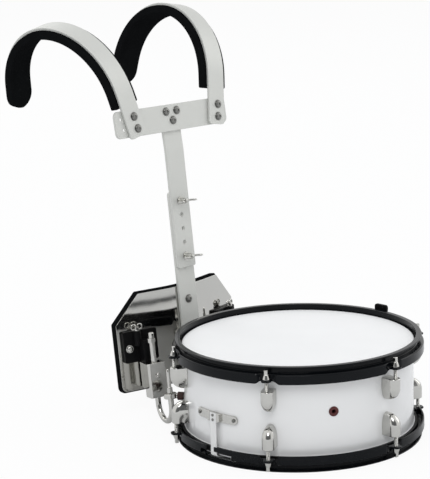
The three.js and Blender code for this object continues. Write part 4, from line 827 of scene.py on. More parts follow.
def round_the_axis(bm, count, first, finish):
    """Copies of a shape round the drum's axis, each turned to face outwards"""
    growth = Growth("round_the_axis")
    copies = growth.ask("Copies", "Int", count)
    start = growth.ask("First Angle", "Float", first)
    points = growth.add("GeometryNodeMeshLine", None, {"Count": copies, "Offset": (0, 0, 0)})
    index = growth.add("GeometryNodeInputIndex")
    step = growth.add("ShaderNodeMath", {"operation": "DIVIDE"}, {0: FULL_TURN, 1: copies})
    angle = growth.add("ShaderNodeMath", {"operation": "MULTIPLY_ADD"}, {0: index, 1: step, 2: start})
    spin = growth.add("ShaderNodeCombineXYZ", None, {"Z": angle})
    return growth.copied(bm, finish, {"Points": points, "Rotation": spin})


def in_a_row(bm, count, start, step, finish):
    """Copies of a shape along a line"""
    growth = Growth("in_a_row")
    line = {
        "Count": growth.ask("Copies", "Int", count),
        "Start Location": growth.ask("Start", "Vector", start),
        "Offset": growth.ask("Step", "Vector", step),
    }
    points = growth.add("GeometryNodeMeshLine", None, line)
    return growth.copied(bm, finish, {"Points": points})


# Fittings that come more than once
def dome_bolt(diameter, height, washer):
    """A dome head with a recess on a washer, looking along -Y from y = 0"""
    radius = diameter / 2
    rim = washer / 2
    foot = WASHER_SHEET
    profile = [
        (0, 0), (rim, 0), (rim, foot * 0.6), (rim - 0.3, foot), (radius, foot), (radius, foot + height * 0.3),
    ]
    for k in range(1, 6):
        share = k / 8 * RIGHT_ANGLE
        profile.append((radius * math.cos(share), foot + height * 0.3 + height * 0.7 * math.sin(share)))
    for share, rise in ((0.42, 0.93), (0.36, 0.93), (0.34, 0.55), (0, 0.5)):
        profile.append((radius * share, foot + height * rise))
    return lathe(profile, 32, "-Y")


def carrier_bolt():
    return dome_bolt(BOLT_HEAD - 2.4, 3.2, BOLT_HEAD)


def slotted_screw(diameter, height):
    """A small cheese-head screw with its slot, looking along -Y from y = 0"""
    radius = diameter / 2
    profile = [(0, 0), (radius, 0), (radius, height * 0.7), (radius * 0.86, height), (0, height)]
    slot = box(diameter * 1.3, height, diameter * 0.2, 0, -height * 1.05, 0)
    return cut(lathe(profile, 24, "-Y"), slot)


def hoop_section(distance):
    """The pressed section at a distance along the rim from a tension rod, as (radius, height)"""
    fold = smooth(limited((EAR_HALF_WIDTH + EAR_FLARE - distance) / EAR_FLARE))

    def mix(skirt, ear):
        return skirt + (ear - skirt) * fold

    reach = math.sqrt(max(0.0, 1 - (distance / (EAR_HALF_WIDTH + 0.6)) ** 4))
    flange_top = FLANGE_UNDERSIDE - HOOP_SHEET
    neck = mix(SKIRT, EAR_NECK)
    edge = SKIRT + (EAR_RADIUS - SKIRT) * fold * reach
    ear_foot = EAR_DROP + EAR_SHEET
    points = [
        (HOOP_INNER, 0),
        (HOOP_INNER, FLANGE_UNDERSIDE),
        (neck - HOOP_SHEET - SHOULDER, FLANGE_UNDERSIDE),
        (neck - HOOP_SHEET, mix(FLANGE_UNDERSIDE + SHOULDER, ear_foot)),
        (mix(SKIRT - HOOP_SHEET, edge), mix(SKIRT_DEPTH, ear_foot)),
        (edge, mix(SKIRT_DEPTH - 0.6, EAR_DROP)),
        (neck, mix(flange_top + SHOULDER, EAR_DROP)),
        (mix(SKIRT - SHOULDER, EAR_NECK - 0.6), flange_top),
        (HOOP_INNER + HOOP_SHEET, flange_top),
        (HOOP_INNER + HOOP_SHEET, HOOP_SHEET),
        (RIM_FLANGE, HOOP_SHEET),
        (RIM_FLANGE, 0),
    ]
    radii = [0.9, 0.3, 0.5, 0.5, 0.9, 0.9, 0.9, 1.3, 1.1, 0.6, 1.0, 1.0]
    return [(p.x, DRUM_HEIGHT - p.y) for p in fillet(points, radii, 3)]


def rod_angle(k):
    return FIRST_ROD + k * FULL_TURN / ROD_COUNT


def drilled_hoop():
    """The upper hoop with its rod holes"""
    near = [0, 1.6, 3.2, 4.6, 5.6, 6.4, 6.9, 7.2, 7.4, 7.6, 8, 9, 10, 11, 12, 13, 14.5, 16, 17.5, 19]
    half_pitch = math.pi / ROD_COUNT
    half_way = half_pitch * ROD_CIRCLE
    distances = near + [19 + (half_way - 19) * share for share in (0.12, 0.27, 0.45, 0.63, 0.82)]
    offsets = [-d for d in reversed(distances[1:])] + distances + [half_way]
    rings = []
    for k in range(ROD_COUNT):
        for offset in offsets:
            angle = FIRST_ROD + 2 * k * half_pitch + offset / ROD_CIRCLE
            rings.append([Vector((*polar(r, angle), z)) for r, z in hoop_section(abs(offset))])
    holes = [
        placed(cylinder(EAR_HOLE, 0, 20), shift(*polar(ROD_CIRCLE, rod_angle(k)), DRUM_HEIGHT - 28))
        for k in range(ROD_COUNT)
    ]
    return cut(loft(rings, closed=True), merged(*holes))


def upside_down(bm):
    return placed(bm, shift(0, 0, DRUM_HEIGHT) @ turn(math.pi, "X"))


def lug_shape(nose):
    """Bullet-shaped casting at angle 0, flat where the rod enters"""
    flat_end = LUG_OUTER_END - LUG_INNER_END - LUG_EDGE
    foot_radius = SHELL_RADIUS + 1.6

    def ring(height, share, trim=0.0):
        half = (LUG_WIDTH / 2 - trim) * share
        front = foot_radius + (LUG_FRONT - trim - foot_radius) * share
        centre = max(foot_radius, front - half)
        points = [Vector((SHELL_RADIUS - 2, -half, height))]
        for k in range(19):
            angle = -RIGHT_ANGLE + k * math.pi / 18
            out = (front - centre) * math.cos(angle)
            points.append(Vector((centre + out, half * math.sin(angle), height)))
        points.append(Vector((SHELL_RADIUS - 2, half, height)))
        return points

    rings = []
    for k in range(11):
        angle = RIGHT_ANGLE * k / 10
        rings.append(ring(nose * (1 - math.cos(angle)), 0.1 + 0.9 * math.sin(angle)))
    rings.append(ring(flat_end, 1))
    for trim in (0.25, 0.8, LUG_EDGE):
        rise = math.sqrt(max(0, LUG_EDGE ** 2 - (LUG_EDGE - trim) ** 2))
        rings.append(ring(flat_end + rise, 1, trim))
    bore = placed(cylinder(LUG_BORE, 0, 30), shift(ROD_CIRCLE, 0, LUG_OUTER_END - LUG_INNER_END - 24))
    seat = cylinder(SHELL_RADIUS + CLEAR, -5, 60, 360)
    return cut(cut(loft(rings), bore), seat)


def rod_shape(side):
    """Tension rod with its head at the top, on its own axis"""
    collar_foot = DRUM_HEIGHT - EAR_DROP + CLEAR
    collar_top = collar_foot + 1.4
    foot = DRUM_MIDDLE + LUG_OUTER_END - 19
    radius = ROD_DIAMETER / 2
    profile = [(0, foot), (radius - 0.5, foot), (radius, foot + 0.6)]
    level = foot + 1
    while level < collar_foot - 3:
        profile += [(radius, level), (radius - 0.32, level + 0.45), (radius, level + 0.9)]
        level += 0.95
    profile += raised(collar_foot, (radius, -2), (radius, 0), (5.4, 0), (5.6, 0.3))
    profile += raised(collar_top, (5.6, -0.3), (5.4, 0), (5.2, 0.9), (4.7, 2.4))
    profile += raised(collar_top, (3.9, 4.4), (3.2, 6.2), (2.6, 6.6), (0, 6.6))
    height = DRUM_HEIGHT - 3.1 - collar_top - 1
    head = bevelled(box(side, side, height, 0, 0, collar_top + 1 + height / 2), 0.7, 3)
    return merged(clean(lathe(profile, 28)), head)


# Operators
class DrumOperator:
    """What the operators of this file share"""

    bl_options = {"INTERNAL"}

    @property
    def sizes(self):
        return bpy.context.scene.drum_sizes


class DRUM_OT_finishes(DrumOperator, Operator):
    """Make the finishes and dress every CAD node with the finish of its slot"""

    bl_idname = "drum.finishes"
    bl_label = "Finishes"

    def execute(self, context):
        colours = context.scene.drum_colours
        chrome = colours.chrome
        make_wrap(colours.wrap)
        make_film(colours.head)
        make_enamel(colours.enamel)
        make_plating(chrome)
        make_aluminium(colours.aluminium)
        make_mirror(shade(chrome, 0.98))
        make_foam(colours.foam)
        make_black_metal()
        make_web()
        vent = shade(colours.vent, 0.7), shade(colours.vent, 1.3)
        nickel = shade(chrome, 0.85), shade(chrome, 1.15)
        wire = (0.5, 0.5, 0.5), (0.68, 0.69, 0.7)
        rubber = (0.02, 0.008, 0.006), (0.055, 0.018, 0.013)
        zinc = (0.13, 0.13, 0.125), (0.3, 0.3, 0.285)
        make_hazed("butt_nickel", (180, 4, 0.6), *nickel, 0.16, 0.14, Metallic=1.0)
        make_hazed("snare_steel", (90, 4, 0.6), *wire, 0.18, 0.2, Metallic=1.0)
        make_hazed("vent_metal", (300, 3), *vent, 0.32, 0.16, Specular_IOR_Level=0.3)
        make_hazed("sleeve_rubber", (240, 4, 0.6), *rubber, 0.5, 0.25, relief=0.2)
        make_hazed("bolt_zinc", (260, 4, 0.6), *zinc, 0.22, 0.2, Metallic=1.0)
        for row in frame["record"]["subparts"]:
            materials = frame["nodes"][row["node"]].data.materials
            material = Finish.made[row["material_slot"]]
            if not materials:
                materials.append(material)
            for index in range(len(materials)):
                materials[index] = material
        return {"FINISHED"}


class DRUM_OT_shell(DrumOperator, Operator):
    """Make the shell, its vent and both heads"""

    bl_idname = "drum.shell"
    bl_label = "Shell and Heads"

    def execute(self, context):
        land = SHELL_RADIUS - SHELL_WALL / 2
        inner = SHELL_RADIUS - SHELL_WALL
        outer = SHELL_RADIUS
        profile = [
            *raised(SHELL_FOOT, (inner, 3.2), (land - 0.7, 0), (land + 0.7, 0)),
            *raised(SHELL_FOOT, (outer - 0.5, 1.4), (outer, 2.1)),
            (outer, DRUM_MIDDLE),
            *raised(SHELL_TOP, (outer, -2.1), (outer - 0.5, -1.4)),
            *raised(SHELL_TOP, (land + 0.7, 0), (land - 0.7, 0), (inner, -3.2)),
            (inner, DRUM_MIDDLE),
        ]
        vent = turn(VENT_ANGLE, "Z") @ shift(SHELL_RADIUS, 0, VENT_LEVEL)
        bore = placed(cylinder(VENT_BORE, -12, 12, 40, "X"), vent)
        piece("shell_wrapped", cut(lathe(profile, 288), bore), DRUM, "drum", "shell_wrap", ["shell"])
        ring = lathe([
            (3.0, -6), (4.2, -6), (4.2, CLEAR), (7.4, CLEAR), (7.4, 0.7), (7.1, 1.2), (5.9, 1.9), (4.8, 2.1),
            (3.6, 1.8), (3.0, 1.2),
        ], 48, "X")
        piece("vent_ring", ring, DRUM @ vent, "drum", "vent_metal", ["vent_grommet"])
        film = DRUM_HEIGHT - HEAD_RECESS
        section = raised(
            film, (0, -0.5), (174.8, -0.5), (176.4, -0.9), (177.4, -2), (177.4, -COLLAR_DEPTH),
            (178.3, -COLLAR_DEPTH), (178.3, -1.9), (177.9, -0.9), (176.9, -0.25), (175.7, 0), (172, 0),
            (0, 0),
        )
        flesh = raised(
            film, (178.35, -COLLAR_DEPTH), (182.7, -COLLAR_DEPTH), (183.0, -12.2), (183.0, -5.0),
            (182.6, -4.6), (178.35, -4.6),
        )
        for word in ("batter", "snare"):
            shapes = [lathe(section, 216), lathe(flesh, 216)]
            if word == "snare":
                shapes = [upside_down(bm) for bm in shapes]
            piece(f"head_{word}", shapes[0], DRUM, "drum", "head_film", [f"{word}_head"], 50)
            piece(f"flesh_hoop_{word}", shapes[1], DRUM, "drum", "black_metal")
        return {"FINISHED"}


class DRUM_OT_hoops(DrumOperator, Operator):
    """Make both pressed hoops with their ears, rod holes and gates"""

    bl_idname = "drum.hoops"
    bl_label = "Hoops"

    def execute(self, context):
        piece("hoop_upper", drilled_hoop(), DRUM, "drum", "hoop_enamel", ["batter_hoop"], 50)
        sill = HOOP_SHEET + GATE_SILL
        height = SKIRT_DEPTH - GATE_LINTEL - sill
        window = bevelled(box(CUTTER_LENGTH, GATE_WIDTH, height, 0, 0, sill + height / 2), 2.4, 3)
        notch = box(CUTTER_LENGTH, NOTCH_WIDTH, NOTCH_HEIGHT, 0, 0, sill + NOTCH_HEIGHT / 2)
        lower = cut(upside_down(drilled_hoop()), placed(window, turn(GATE_TURN, "Z")))
        piece("hoop_lower", cut(lower, notch), DRUM, "drum", "hoop_enamel", ["snare_hoop"], 50)
        return {"FINISHED"}


class DRUM_OT_tension(DrumOperator, Operator):
    """Make the twelve lugs and the twelve tension rods"""

    bl_idname = "drum.tension"
    bl_label = "Lugs and Tension Rods"

    def execute(self, context):
        upper = placed(lug_shape(self.sizes.lug_nose / MM), shift(0, 0, DRUM_MIDDLE + LUG_INNER_END))
        lower = upside_down(upper.copy())
        ring = round_the_axis(merged(upper, lower), ROD_COUNT, FIRST_ROD, "chrome_plate")
        nodes = [f"lug_{level}_{k + 1}" for level in ("upper", "lower") for k in range(ROD_COUNT)]
        piece("lugs", ring, DRUM, "drum", "chrome_plate", nodes)
        for k in range(ROD_COUNT):
            place = DRUM @ turn(rod_angle(k), "Z") @ shift(ROD_CIRCLE)
            for level in ("upper", "lower"):
                bm = rod_shape(self.sizes.key_head / MM)
                if level == "lower":
                    upside_down(bm)
                node = f"tension_rod_{level}_{k + 1}"
                piece(f"rod_{level}_{k + 1}", bm, place, node, "chrome_plate", [node])
        return {"FINISHED"}


class DRUM_OT_snares(DrumOperator, Operator):
    """Make the snare wires, the straps and the butt plate"""

    bl_idname = "drum.snares"
    bl_label = "Snares and Butt Plate"

    def execute(self, context):
        self.make_wires()
        self.make_straps()
        self.make_butt()
        return {"FINISHED"}

    def make_wires(self):
        steps = 6
        count = STRAND_TURNS * steps
        path = []
        for k in range(count + 1):
            along = STRAND_LENGTH * (k / count - 0.5)
            path.append(Vector((along, *polar(STRAND_COIL, FULL_TURN * k / steps))))
        rings = []
        for i, point in enumerate(path):
            along = (path[min(i + 1, count)] - path[max(i - 1, 0)]).normalized()
            radial = Vector((0, point.y, point.z)).normalized()
            cross = along.cross(radial)
            rings.append([
                point + (radial * math.cos(angle) + cross * math.sin(angle)) * STRAND_WIRE
                for angle in (FULL_TURN * j / 3 for j in range(3))
            ])
        sizes = self.sizes
        pitch = sizes.strand_pitch / MM
        start = (0, -(sizes.strands - 1) * pitch / 2, STRAND_LEVEL)
        strands = in_a_row(loft(rings), sizes.strands, start, (0, pitch, 0), "snare_steel")
        plates = [
            bevelled(box(12, 43, 1, side * 144, 0, STRAND_LEVEL - 0.9), 0.3, 2) for side in (-1, 1)
        ]
        piece("snare_strands", merged(strands, *plates), DRUM, "drum", "snare_steel", ["snare_wires"])

    def make_straps(self):
        low = STRAND_LEVEL - 0.375 - 1 - CLEAR - STRAP_SHEET
        inside, outside = STRAP_RADIUS, STRAP_RADIUS + STRAP_SHEET
        for node, matrix in (("strap_butt", BUTT), ("strap_strainer", DRUM)):
            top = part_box(node)[1].z / MM
            line = [
                (inside, top), (inside, 13.2), (inside - 0.8, 10.1), (178.3, low + 1.6),
                (168, low + STRAP_SHEET), (144, low + STRAP_SHEET), (144, low), (168, low),
                (178.7, low + 0.8), (inside + 0.4, 9.3), (outside, 13.2), (outside, top),
            ]
            strip = plate(fillet(line, [0, 2, 2, 3, 3, 0, 0, 3, 3, 2, 2, 0], 4), STRAP_WIDTH, 0.12)
            placed(strip, shift(0, -STRAP_WIDTH / 2, 0))
            piece(node + "_tape", strip, matrix, "drum", "strap_web", [node])

    def make_butt(self):
        inner = SHELL_RADIUS + CLEAR
        outer = inner + BUTT_SHEET
        outline = fillet(rectangle(BUTT_WIDTH, BUTT_HEIGHT, 0, BUTT_LEVEL), BUTT_HEIGHT / 2 - 0.1, 8)
        curved = wrapped(sliced(plate(outline, BUTT_SHEET, 0.5), range(-40, 41, 5)), outer)
        bridge = plate(fillet(rectangle(CLAMP_WIDTH, BUTT_HEIGHT, 0, BUTT_LEVEL), 2.2, 4), CLAMP_DEPTH, 1.2)
        placed(bridge, turn(RIGHT_ANGLE, "Z") @ shift(0, -inner - CLAMP_DEPTH - CLEAR, 0))
        slot = (13.1, BUTT_HEIGHT + 10, STRAP_RADIUS + 0.4, 0, BUTT_LEVEL)
        bridge = cut(bridge, box(1.6, *slot))
        curved = cut(curved, box(2.0, *slot))
        outwards = turn(RIGHT_ANGLE, "Z")
        screws = []
        for reach in (-35.2, 35.2):
            place = turn(reach / SHELL_RADIUS, "Z") @ shift(outer, 0, BUTT_LEVEL) @ outwards
            screws.append(placed(slotted_screw(5.6, 1.8), place))
        for z in (-3.6, 3.6):
            place = shift(inner + CLAMP_DEPTH + CLEAR, 0, BUTT_LEVEL + z) @ outwards
            screws.append(placed(slotted_screw(4.2, 1.2), place))
        cast = merged(curved, bridge)
        piece("butt_plate_cast", cast, BUTT, "drum", "chrome_plate", ["butt_plate"], finish="butt_nickel")
        piece("butt_plate_screws", merged(*screws), BUTT, "drum", "chrome_plate", finish="bolt_zinc")


class DRUM_OT_throw_off(DrumOperator, Operator):
    """Soften the edges of the throw-off's parts and make its knob"""

    bl_idname = "drum.throw_off"
    bl_label = "Throw-off"

    def execute(self, context):
        for node, body, slot, width in (
            ("strainer_base", "drum", "chrome_plate", 0.6),
            ("strainer_carriage", "strainer_carriage", "chrome_plate", 0.5),
            ("strainer_lever", "strainer_lever", "black_metal", 0.5),
        ):
            piece(node + "_cast", softened(node, width), Matrix.Identity(4), body, slot, [node])
        knob = lathe([
            (0, 0.3), (6.6, 0.3), (7.3, 0.9), (7.5, 1.6), (7.5, 7.6), (7.2, 8.6), (6.4, 9.3), (0, 9.3),
        ], 48)
        for k in range(16):
            groove = cylinder(0.9, 0, 12, 10)
            knob = cut(knob, placed(groove, shift(*polar(7.7, FULL_TURN * k / 16), -1)))
        stem = lathe([(0, -6.5), (2.3, -6.5), (2.5, -6), (2.5, 0.6), (0, 0.6)], 24)
        middle = node_middle("strainer_knob")
        place = shift(middle.x, middle.y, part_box("strainer_carriage")[1].z / MM)
        whole = merged(clean(knob), stem)
        piece("tension_knob", whole, place, "strainer_knob", "chrome_plate", ["strainer_knob"])
        return {"FINISHED"}


class DRUM_OT_bars(DrumOperator, Operator):
    """Make the lower bar, the upper bar and the crossbar with their bolts"""

    bl_idname = "drum.bars"
    bl_label = "Bars"

    def execute(self, context):
        self.make_lower()
        self.make_upper()
        self.make_cross()
        return {"FINISHED"}

    def make_lower(self):
        front = -BAR_SHEET - CLEAR
        slot = fillet(rectangle(BAR_HOLE, 122, 0, 89), 3.55, 8)
        bar = plate(fillet(rectangle(BAR_WIDTH, 283, 0, 13.5), 6, 6), BAR_SHEET, 0.5, [slot])
        placed(bar, shift(0, front, 0))
        piece("bar_lower", bar, CARRIER, "carrier", "bar_aluminium", ["lower_bar"])
        bolts = in_a_row(carrier_bolt(), 2, (0, front, -23), (0, 0, -60), "bolt_zinc")
        piece("bolts_lower_bar", bolts, CARRIER, "carrier", "chrome_plate", finish="bolt_zinc")

    def make_upper(self):
        height = UPPER_BEND - UPPER_FOOT + UPPER_HEAD
        outline = fillet(rectangle(BAR_WIDTH, height, 0, UPPER_FOOT + height / 2), 3, 5)
        holes = [circle(BAR_HOLE, 0, LOWEST_HOLE + k * HOLE_PITCH) for k in range(5)]
        bar = placed(plate(outline, BAR_SHEET, 0.5, holes), shift(0, UPPER_FRONT, 0))
        reach = 6
        sliced(bar, range(UPPER_BEND - reach, UPPER_BEND + reach + 1, 3), (0, 0, 1))
        for vertex in bar.verts:
            rise = vertex.co.z - UPPER_BEND
            lean = UPPER_LEAN * limited((rise + reach) / (2 * reach))
            vertex.co.y += max(0.0, rise) * math.tan(lean)
        piece("bar_upper", bar, CARRIER, "upper_frame", "bar_aluminium", ["upper_bar"])

    def make_cross(self):
        outline = fillet(rectangle(CROSSBAR_LENGTH, CROSSBAR_HEIGHT, 0, CROSSBAR_LEVEL), 9, 8)
        yoke = YOKES["right"]
        tilt = yoke["tilt"]
        reach = YOKE_WIDTH / 2 / math.cos(tilt) + SPARE_HOLE_GAP + SPARE_HOLE / 2
        holes = [
            circle(SPARE_HOLE, yoke["x"] + (z - YOKE_FOOT) * math.tan(tilt) - reach, CROSSBAR_LEVEL + z, 20)
            for z in (-8.5, 8.5)
        ]
        front = UPPER_FRONT - CLEAR - CROSSBAR_SHEET
        bar = placed(plate(outline, CROSSBAR_SHEET, 0.5, holes), shift(0, front, 0))
        piece("bar_cross", bar, HEAD, "upper_frame", "bar_aluminium", ["crossbar"])
        start = (-11.5, front, CROSSBAR_LEVEL + 10.5)
        pair = in_a_row(carrier_bolt(), 2, start, (23, 0, 0), "bolt_zinc")
        third = placed(carrier_bolt(), shift(1, front, CROSSBAR_LEVEL - 4.5))
        bolts = merged(pair, clean(third))
        piece("bolts_crossbar", bolts, HEAD, "upper_frame", "chrome_plate", finish="bolt_zinc")


def arch(word):
    """Frames along a yoke: length, point on the outer face, direction across and direction inwards"""
    yoke = YOKES[word]
    straight = yoke["straight"]
    front_end = straight + YOKE_FRONT_BEND * YOKE_FRONT_SWEEP
    rear = YOKE_REAR_BEND * YOKE_REAR_SWEEP
    total = front_end + rear + YOKE_TAIL
    out = UPPER_FRONT - 2 * CLEAR - CROSSBAR_SHEET - YOKE_SHEET
    place = Vector((yoke["x"], out, CROSSBAR_LEVEL + YOKE_FOOT))

    def axes(s):
        if s < straight:
            bend = 0.0
        elif s < front_end:
            bend = (s - straight) / YOKE_FRONT_BEND
        else:
            bend = YOKE_FRONT_SWEEP + min(s - front_end, rear) / YOKE_REAR_BEND
        share = limited((s - YOKE_TWIST_START) / YOKE_TWIST_RUN)
        basis = turn(yoke["tilt"], "Y") @ turn(yoke["twist"] * smooth(share), "Z")
        along = basis @ Vector((0, math.sin(bend), math.cos(bend)))
        inward = basis @ Vector((0, math.cos(bend), -math.sin(bend)))
        return along, basis @ Vector((1, 0, 0)), inward

    frames = []
    fine = 0.25
    steps_a_frame = 16
    count = int((total + PAD_OVERHANG + 1) / fine)
    for i in range(count + 1):
        s = i * fine
        _, across, inward = axes(s)
        if i % steps_a_frame == 0 or i == count:
            frames.append((s, place.copy(), across, inward))
        place = place + axes(s + fine / 2)[0] * fine
    return frames, total


def arch_at(frames, s):
    for (s0, p0, a0, n0), (s1, p1, a1, n1) in zip(frames, frames[1:]):
        if s <= s1:
            t = (s - s0) / (s1 - s0)
            return p0.lerp(p1, t), a0.lerp(a1, t).normalized(), n0.lerp(n1, t).normalized()
    return frames[-1][1:]


def arch_body(frames, start, end, half, start_corner, end_corner, section):
    """A body along the arch with both ends' corners rounded; section takes half width and length"""
    shares = [1 - math.cos(RIGHT_ANGLE * k / 8) for k in range(9)]
    lengths = [start + share * start_corner for share in shares]
    lengths += [s for s, *_ in frames if start + start_corner + 2 < s < end - end_corner - 2]
    lengths += [end - share * end_corner for share in reversed(shares)]
    rings = []
    for s in lengths:
        point, across, inward = arch_at(frames, s)
        inset = 0.0
        for distance, corner in ((s - start, start_corner), (end - s, end_corner)):
            share = limited(distance / corner)
            inset = max(inset, corner * (1 - math.sqrt(max(0.0, 1 - (1 - share) ** 2))))
        trimmed = max(half * 0.06, half - inset)
        rings.append([point + across * a + inward * b for a, b in section(trimmed, s)])
    return loft(rings)


class DRUM_OT_yokes(DrumOperator, Operator):
    """Make both shoulder yokes with their bolts, and both shoulder pads"""

    bl_idname = "drum.yokes"
    bl_label = "Yokes and Shoulder Pads"

    def execute(self, context):
        for word in YOKES:
            frames, total = arch(word)
            self.make_yoke(word, frames, total)
            self.make_pad(word, frames, total)
        return {"FINISHED"}

    def make_yoke(self, word, frames, total):
        def section(half, s):
            points = [(-half, 0), (half, 0), (half, YOKE_SHEET), (-half, YOKE_SHEET)]
            return fillet(points, min(0.9, half * 0.5), 3)

        bm = arch_body(frames, 0, total, YOKE_WIDTH / 2, 5.5, 5.5, section)
        piece(f"yoke_{word}_bar", bm, HEAD, "upper_frame", "bar_aluminium", [f"yoke_{word}"])
        bolts = []
        for height in (13, 33):
            place = shift(*arch_at(frames, height)[0]) @ turn(YOKES[word]["tilt"], "Y") @ shift(2.4)
            bolts.append(placed(clean(carrier_bolt()), place))
        piece(f"bolts_yoke_{word}", merged(*bolts), HEAD, "upper_frame", "chrome_plate", finish="bolt_zinc")

    def make_pad(self, word, frames, total):
        low = YOKE_SHEET + CLEAR
        front = low + PAD_THICKNESS - 0.8
        start = YOKES[word]["pad"]
        end = total + PAD_OVERHANG
        crown = self.sizes.pad_crown / MM

        def section(half, s):
            swell = crown * min(1.0, (s - start) / 30, (end - s) / 30)
            foot = low + 0.2
            points = [(-half, foot), (half, foot), (half, front), (0, front + swell), (-half, front)]
            return fillet(points, [1.2, 1.2, 3.2, 60, 3.2], 5)

        bm = arch_body(frames, start, end, PAD_WIDTH / 2, 2.2, 24, section)
        pad = piece(f"pad_{word}", bm, HEAD, "upper_frame", "foam_pad", [f"shoulder_pad_{word}"], 60)


class DRUM_OT_wing_bolts(DrumOperator, Operator):
    """Make the two wing bolts of the telescoping bars"""

    bl_idname = "drum.wing_bolts"
    bl_label = "Wing Bolts"

    def execute(self, context):
        back = -UPPER_FRONT + CLEAR
        profile = [
            (0, -4.3), (4.2, -4.3), (5.4, -3.6), (6.0, -2.4), (6.0, -0.35), (3.3, -0.3),
            *raised(back, (3.3, 0), (7.0, 0), (7.0, 1.0), (5.6, 1.1), (5.4, 3), (4.4, 13.2)),
            *raised(back, (3.7, 14), (3.0, 14), (3.0, 18.0), (2.6, 18.4), (0, 18.4)),
        ]
        corners = [(0, 0.6), (4.2, 0.6), (17.0, 13.4), (17.2, 23.2), (11.4, 23.2), (3.6, 11.6), (0, 11.4)]
        outline = fillet(corners, [0, 2.5, 3.4, 3.2, 3.2, 5, 0], 6)
        for word, holes_up in (("lower", 0), ("upper", 4)):
            node = f"wing_bolt_{word}"
            place = CARRIER @ shift(0, 0, LOWEST_HOLE + holes_up * HOLE_PITCH)
            wings = []
            for side in (-1, 1):
                wing = plate([(side * p.x, p.y) for p in outline], 3, 1.1)
                wings.append(placed(wing, shift(0, -back, 0) @ turn(RIGHT_ANGLE, "X") @ shift(0, -1.5, 0)))
            whole = merged(clean(lathe(profile, 36, "-Y")), *wings)
            piece(node + "_cast", whole, place, node, "chrome_plate", [node])
        return {"FINISHED"}


def bent_sheet(front, thickness, grow, edge):
    """The belly plate's outline, bent along two lines, in the carrier's frame"""
    side = PLATE_HALF_WIDTH + grow
    top = PLATE_TOP_HALF + grow / 2
    foot = -PLATE_HEIGHT - grow
    corner = -PLATE_CUT_DROP + grow / 2
    points = [(-side, foot), (side, foot), (side, corner), (top, grow), (-top, grow), (-side, corner)]
    bm = plate(fillet(points, [9, 9, 3, 3, 3, 3], 6), thickness, edge)
    reach = 20
    bends = [side * (PLATE_FLAT + k) for side in (-1, 1) for k in range(-reach, reach + 1, 2)]
    wings = [side * (PLATE_FLAT + k) for side in (-1, 1) for k in (40, 70, 90)]
    sliced(bm, bends + wings)
    radius = 2 * reach / PLATE_BEND
    for vertex in bm.verts:
        x, y, z = vertex.co
        sign = 1 if x > 0 else -1
        s = abs(x)
        share = limited((s - PLATE_FLAT + reach) / (2 * reach))
        angle = PLATE_BEND * share
        px, py = s, 0.0
        if share > 0:
            past = max(0.0, s - PLATE_FLAT - reach)
            px = PLATE_FLAT - reach + radius * math.sin(angle) + past * math.cos(angle)
            py = radius * (1 - math.cos(angle)) + past * math.sin(angle)
        depth = y + front
        vertex.co = (sign * (px - depth * math.sin(angle)), py + depth * math.cos(angle), z)
    return bm


class DRUM_OT_belly(DrumOperator, Operator):
    """Make the mirror-bright belly plate and the foam behind it"""

    bl_idname = "drum.belly"
    bl_label = "Belly Plate and Pad"

    def execute(self, context):
        sheet = bent_sheet(0, PLATE_SHEET, 0, 0.4)
        piece("belly_sheet", sheet, CARRIER, "carrier", "belly_mirror", ["belly_plate"])
        foam = bent_sheet(PLATE_SHEET + CLEAR, BELLY_FOAM, BELLY_FOAM_PROUD, 2.8)
        pad = piece("belly_foam", foam, CARRIER, "carrier", "foam_pad", ["belly_pad"], 60)
        return {"FINISHED"}


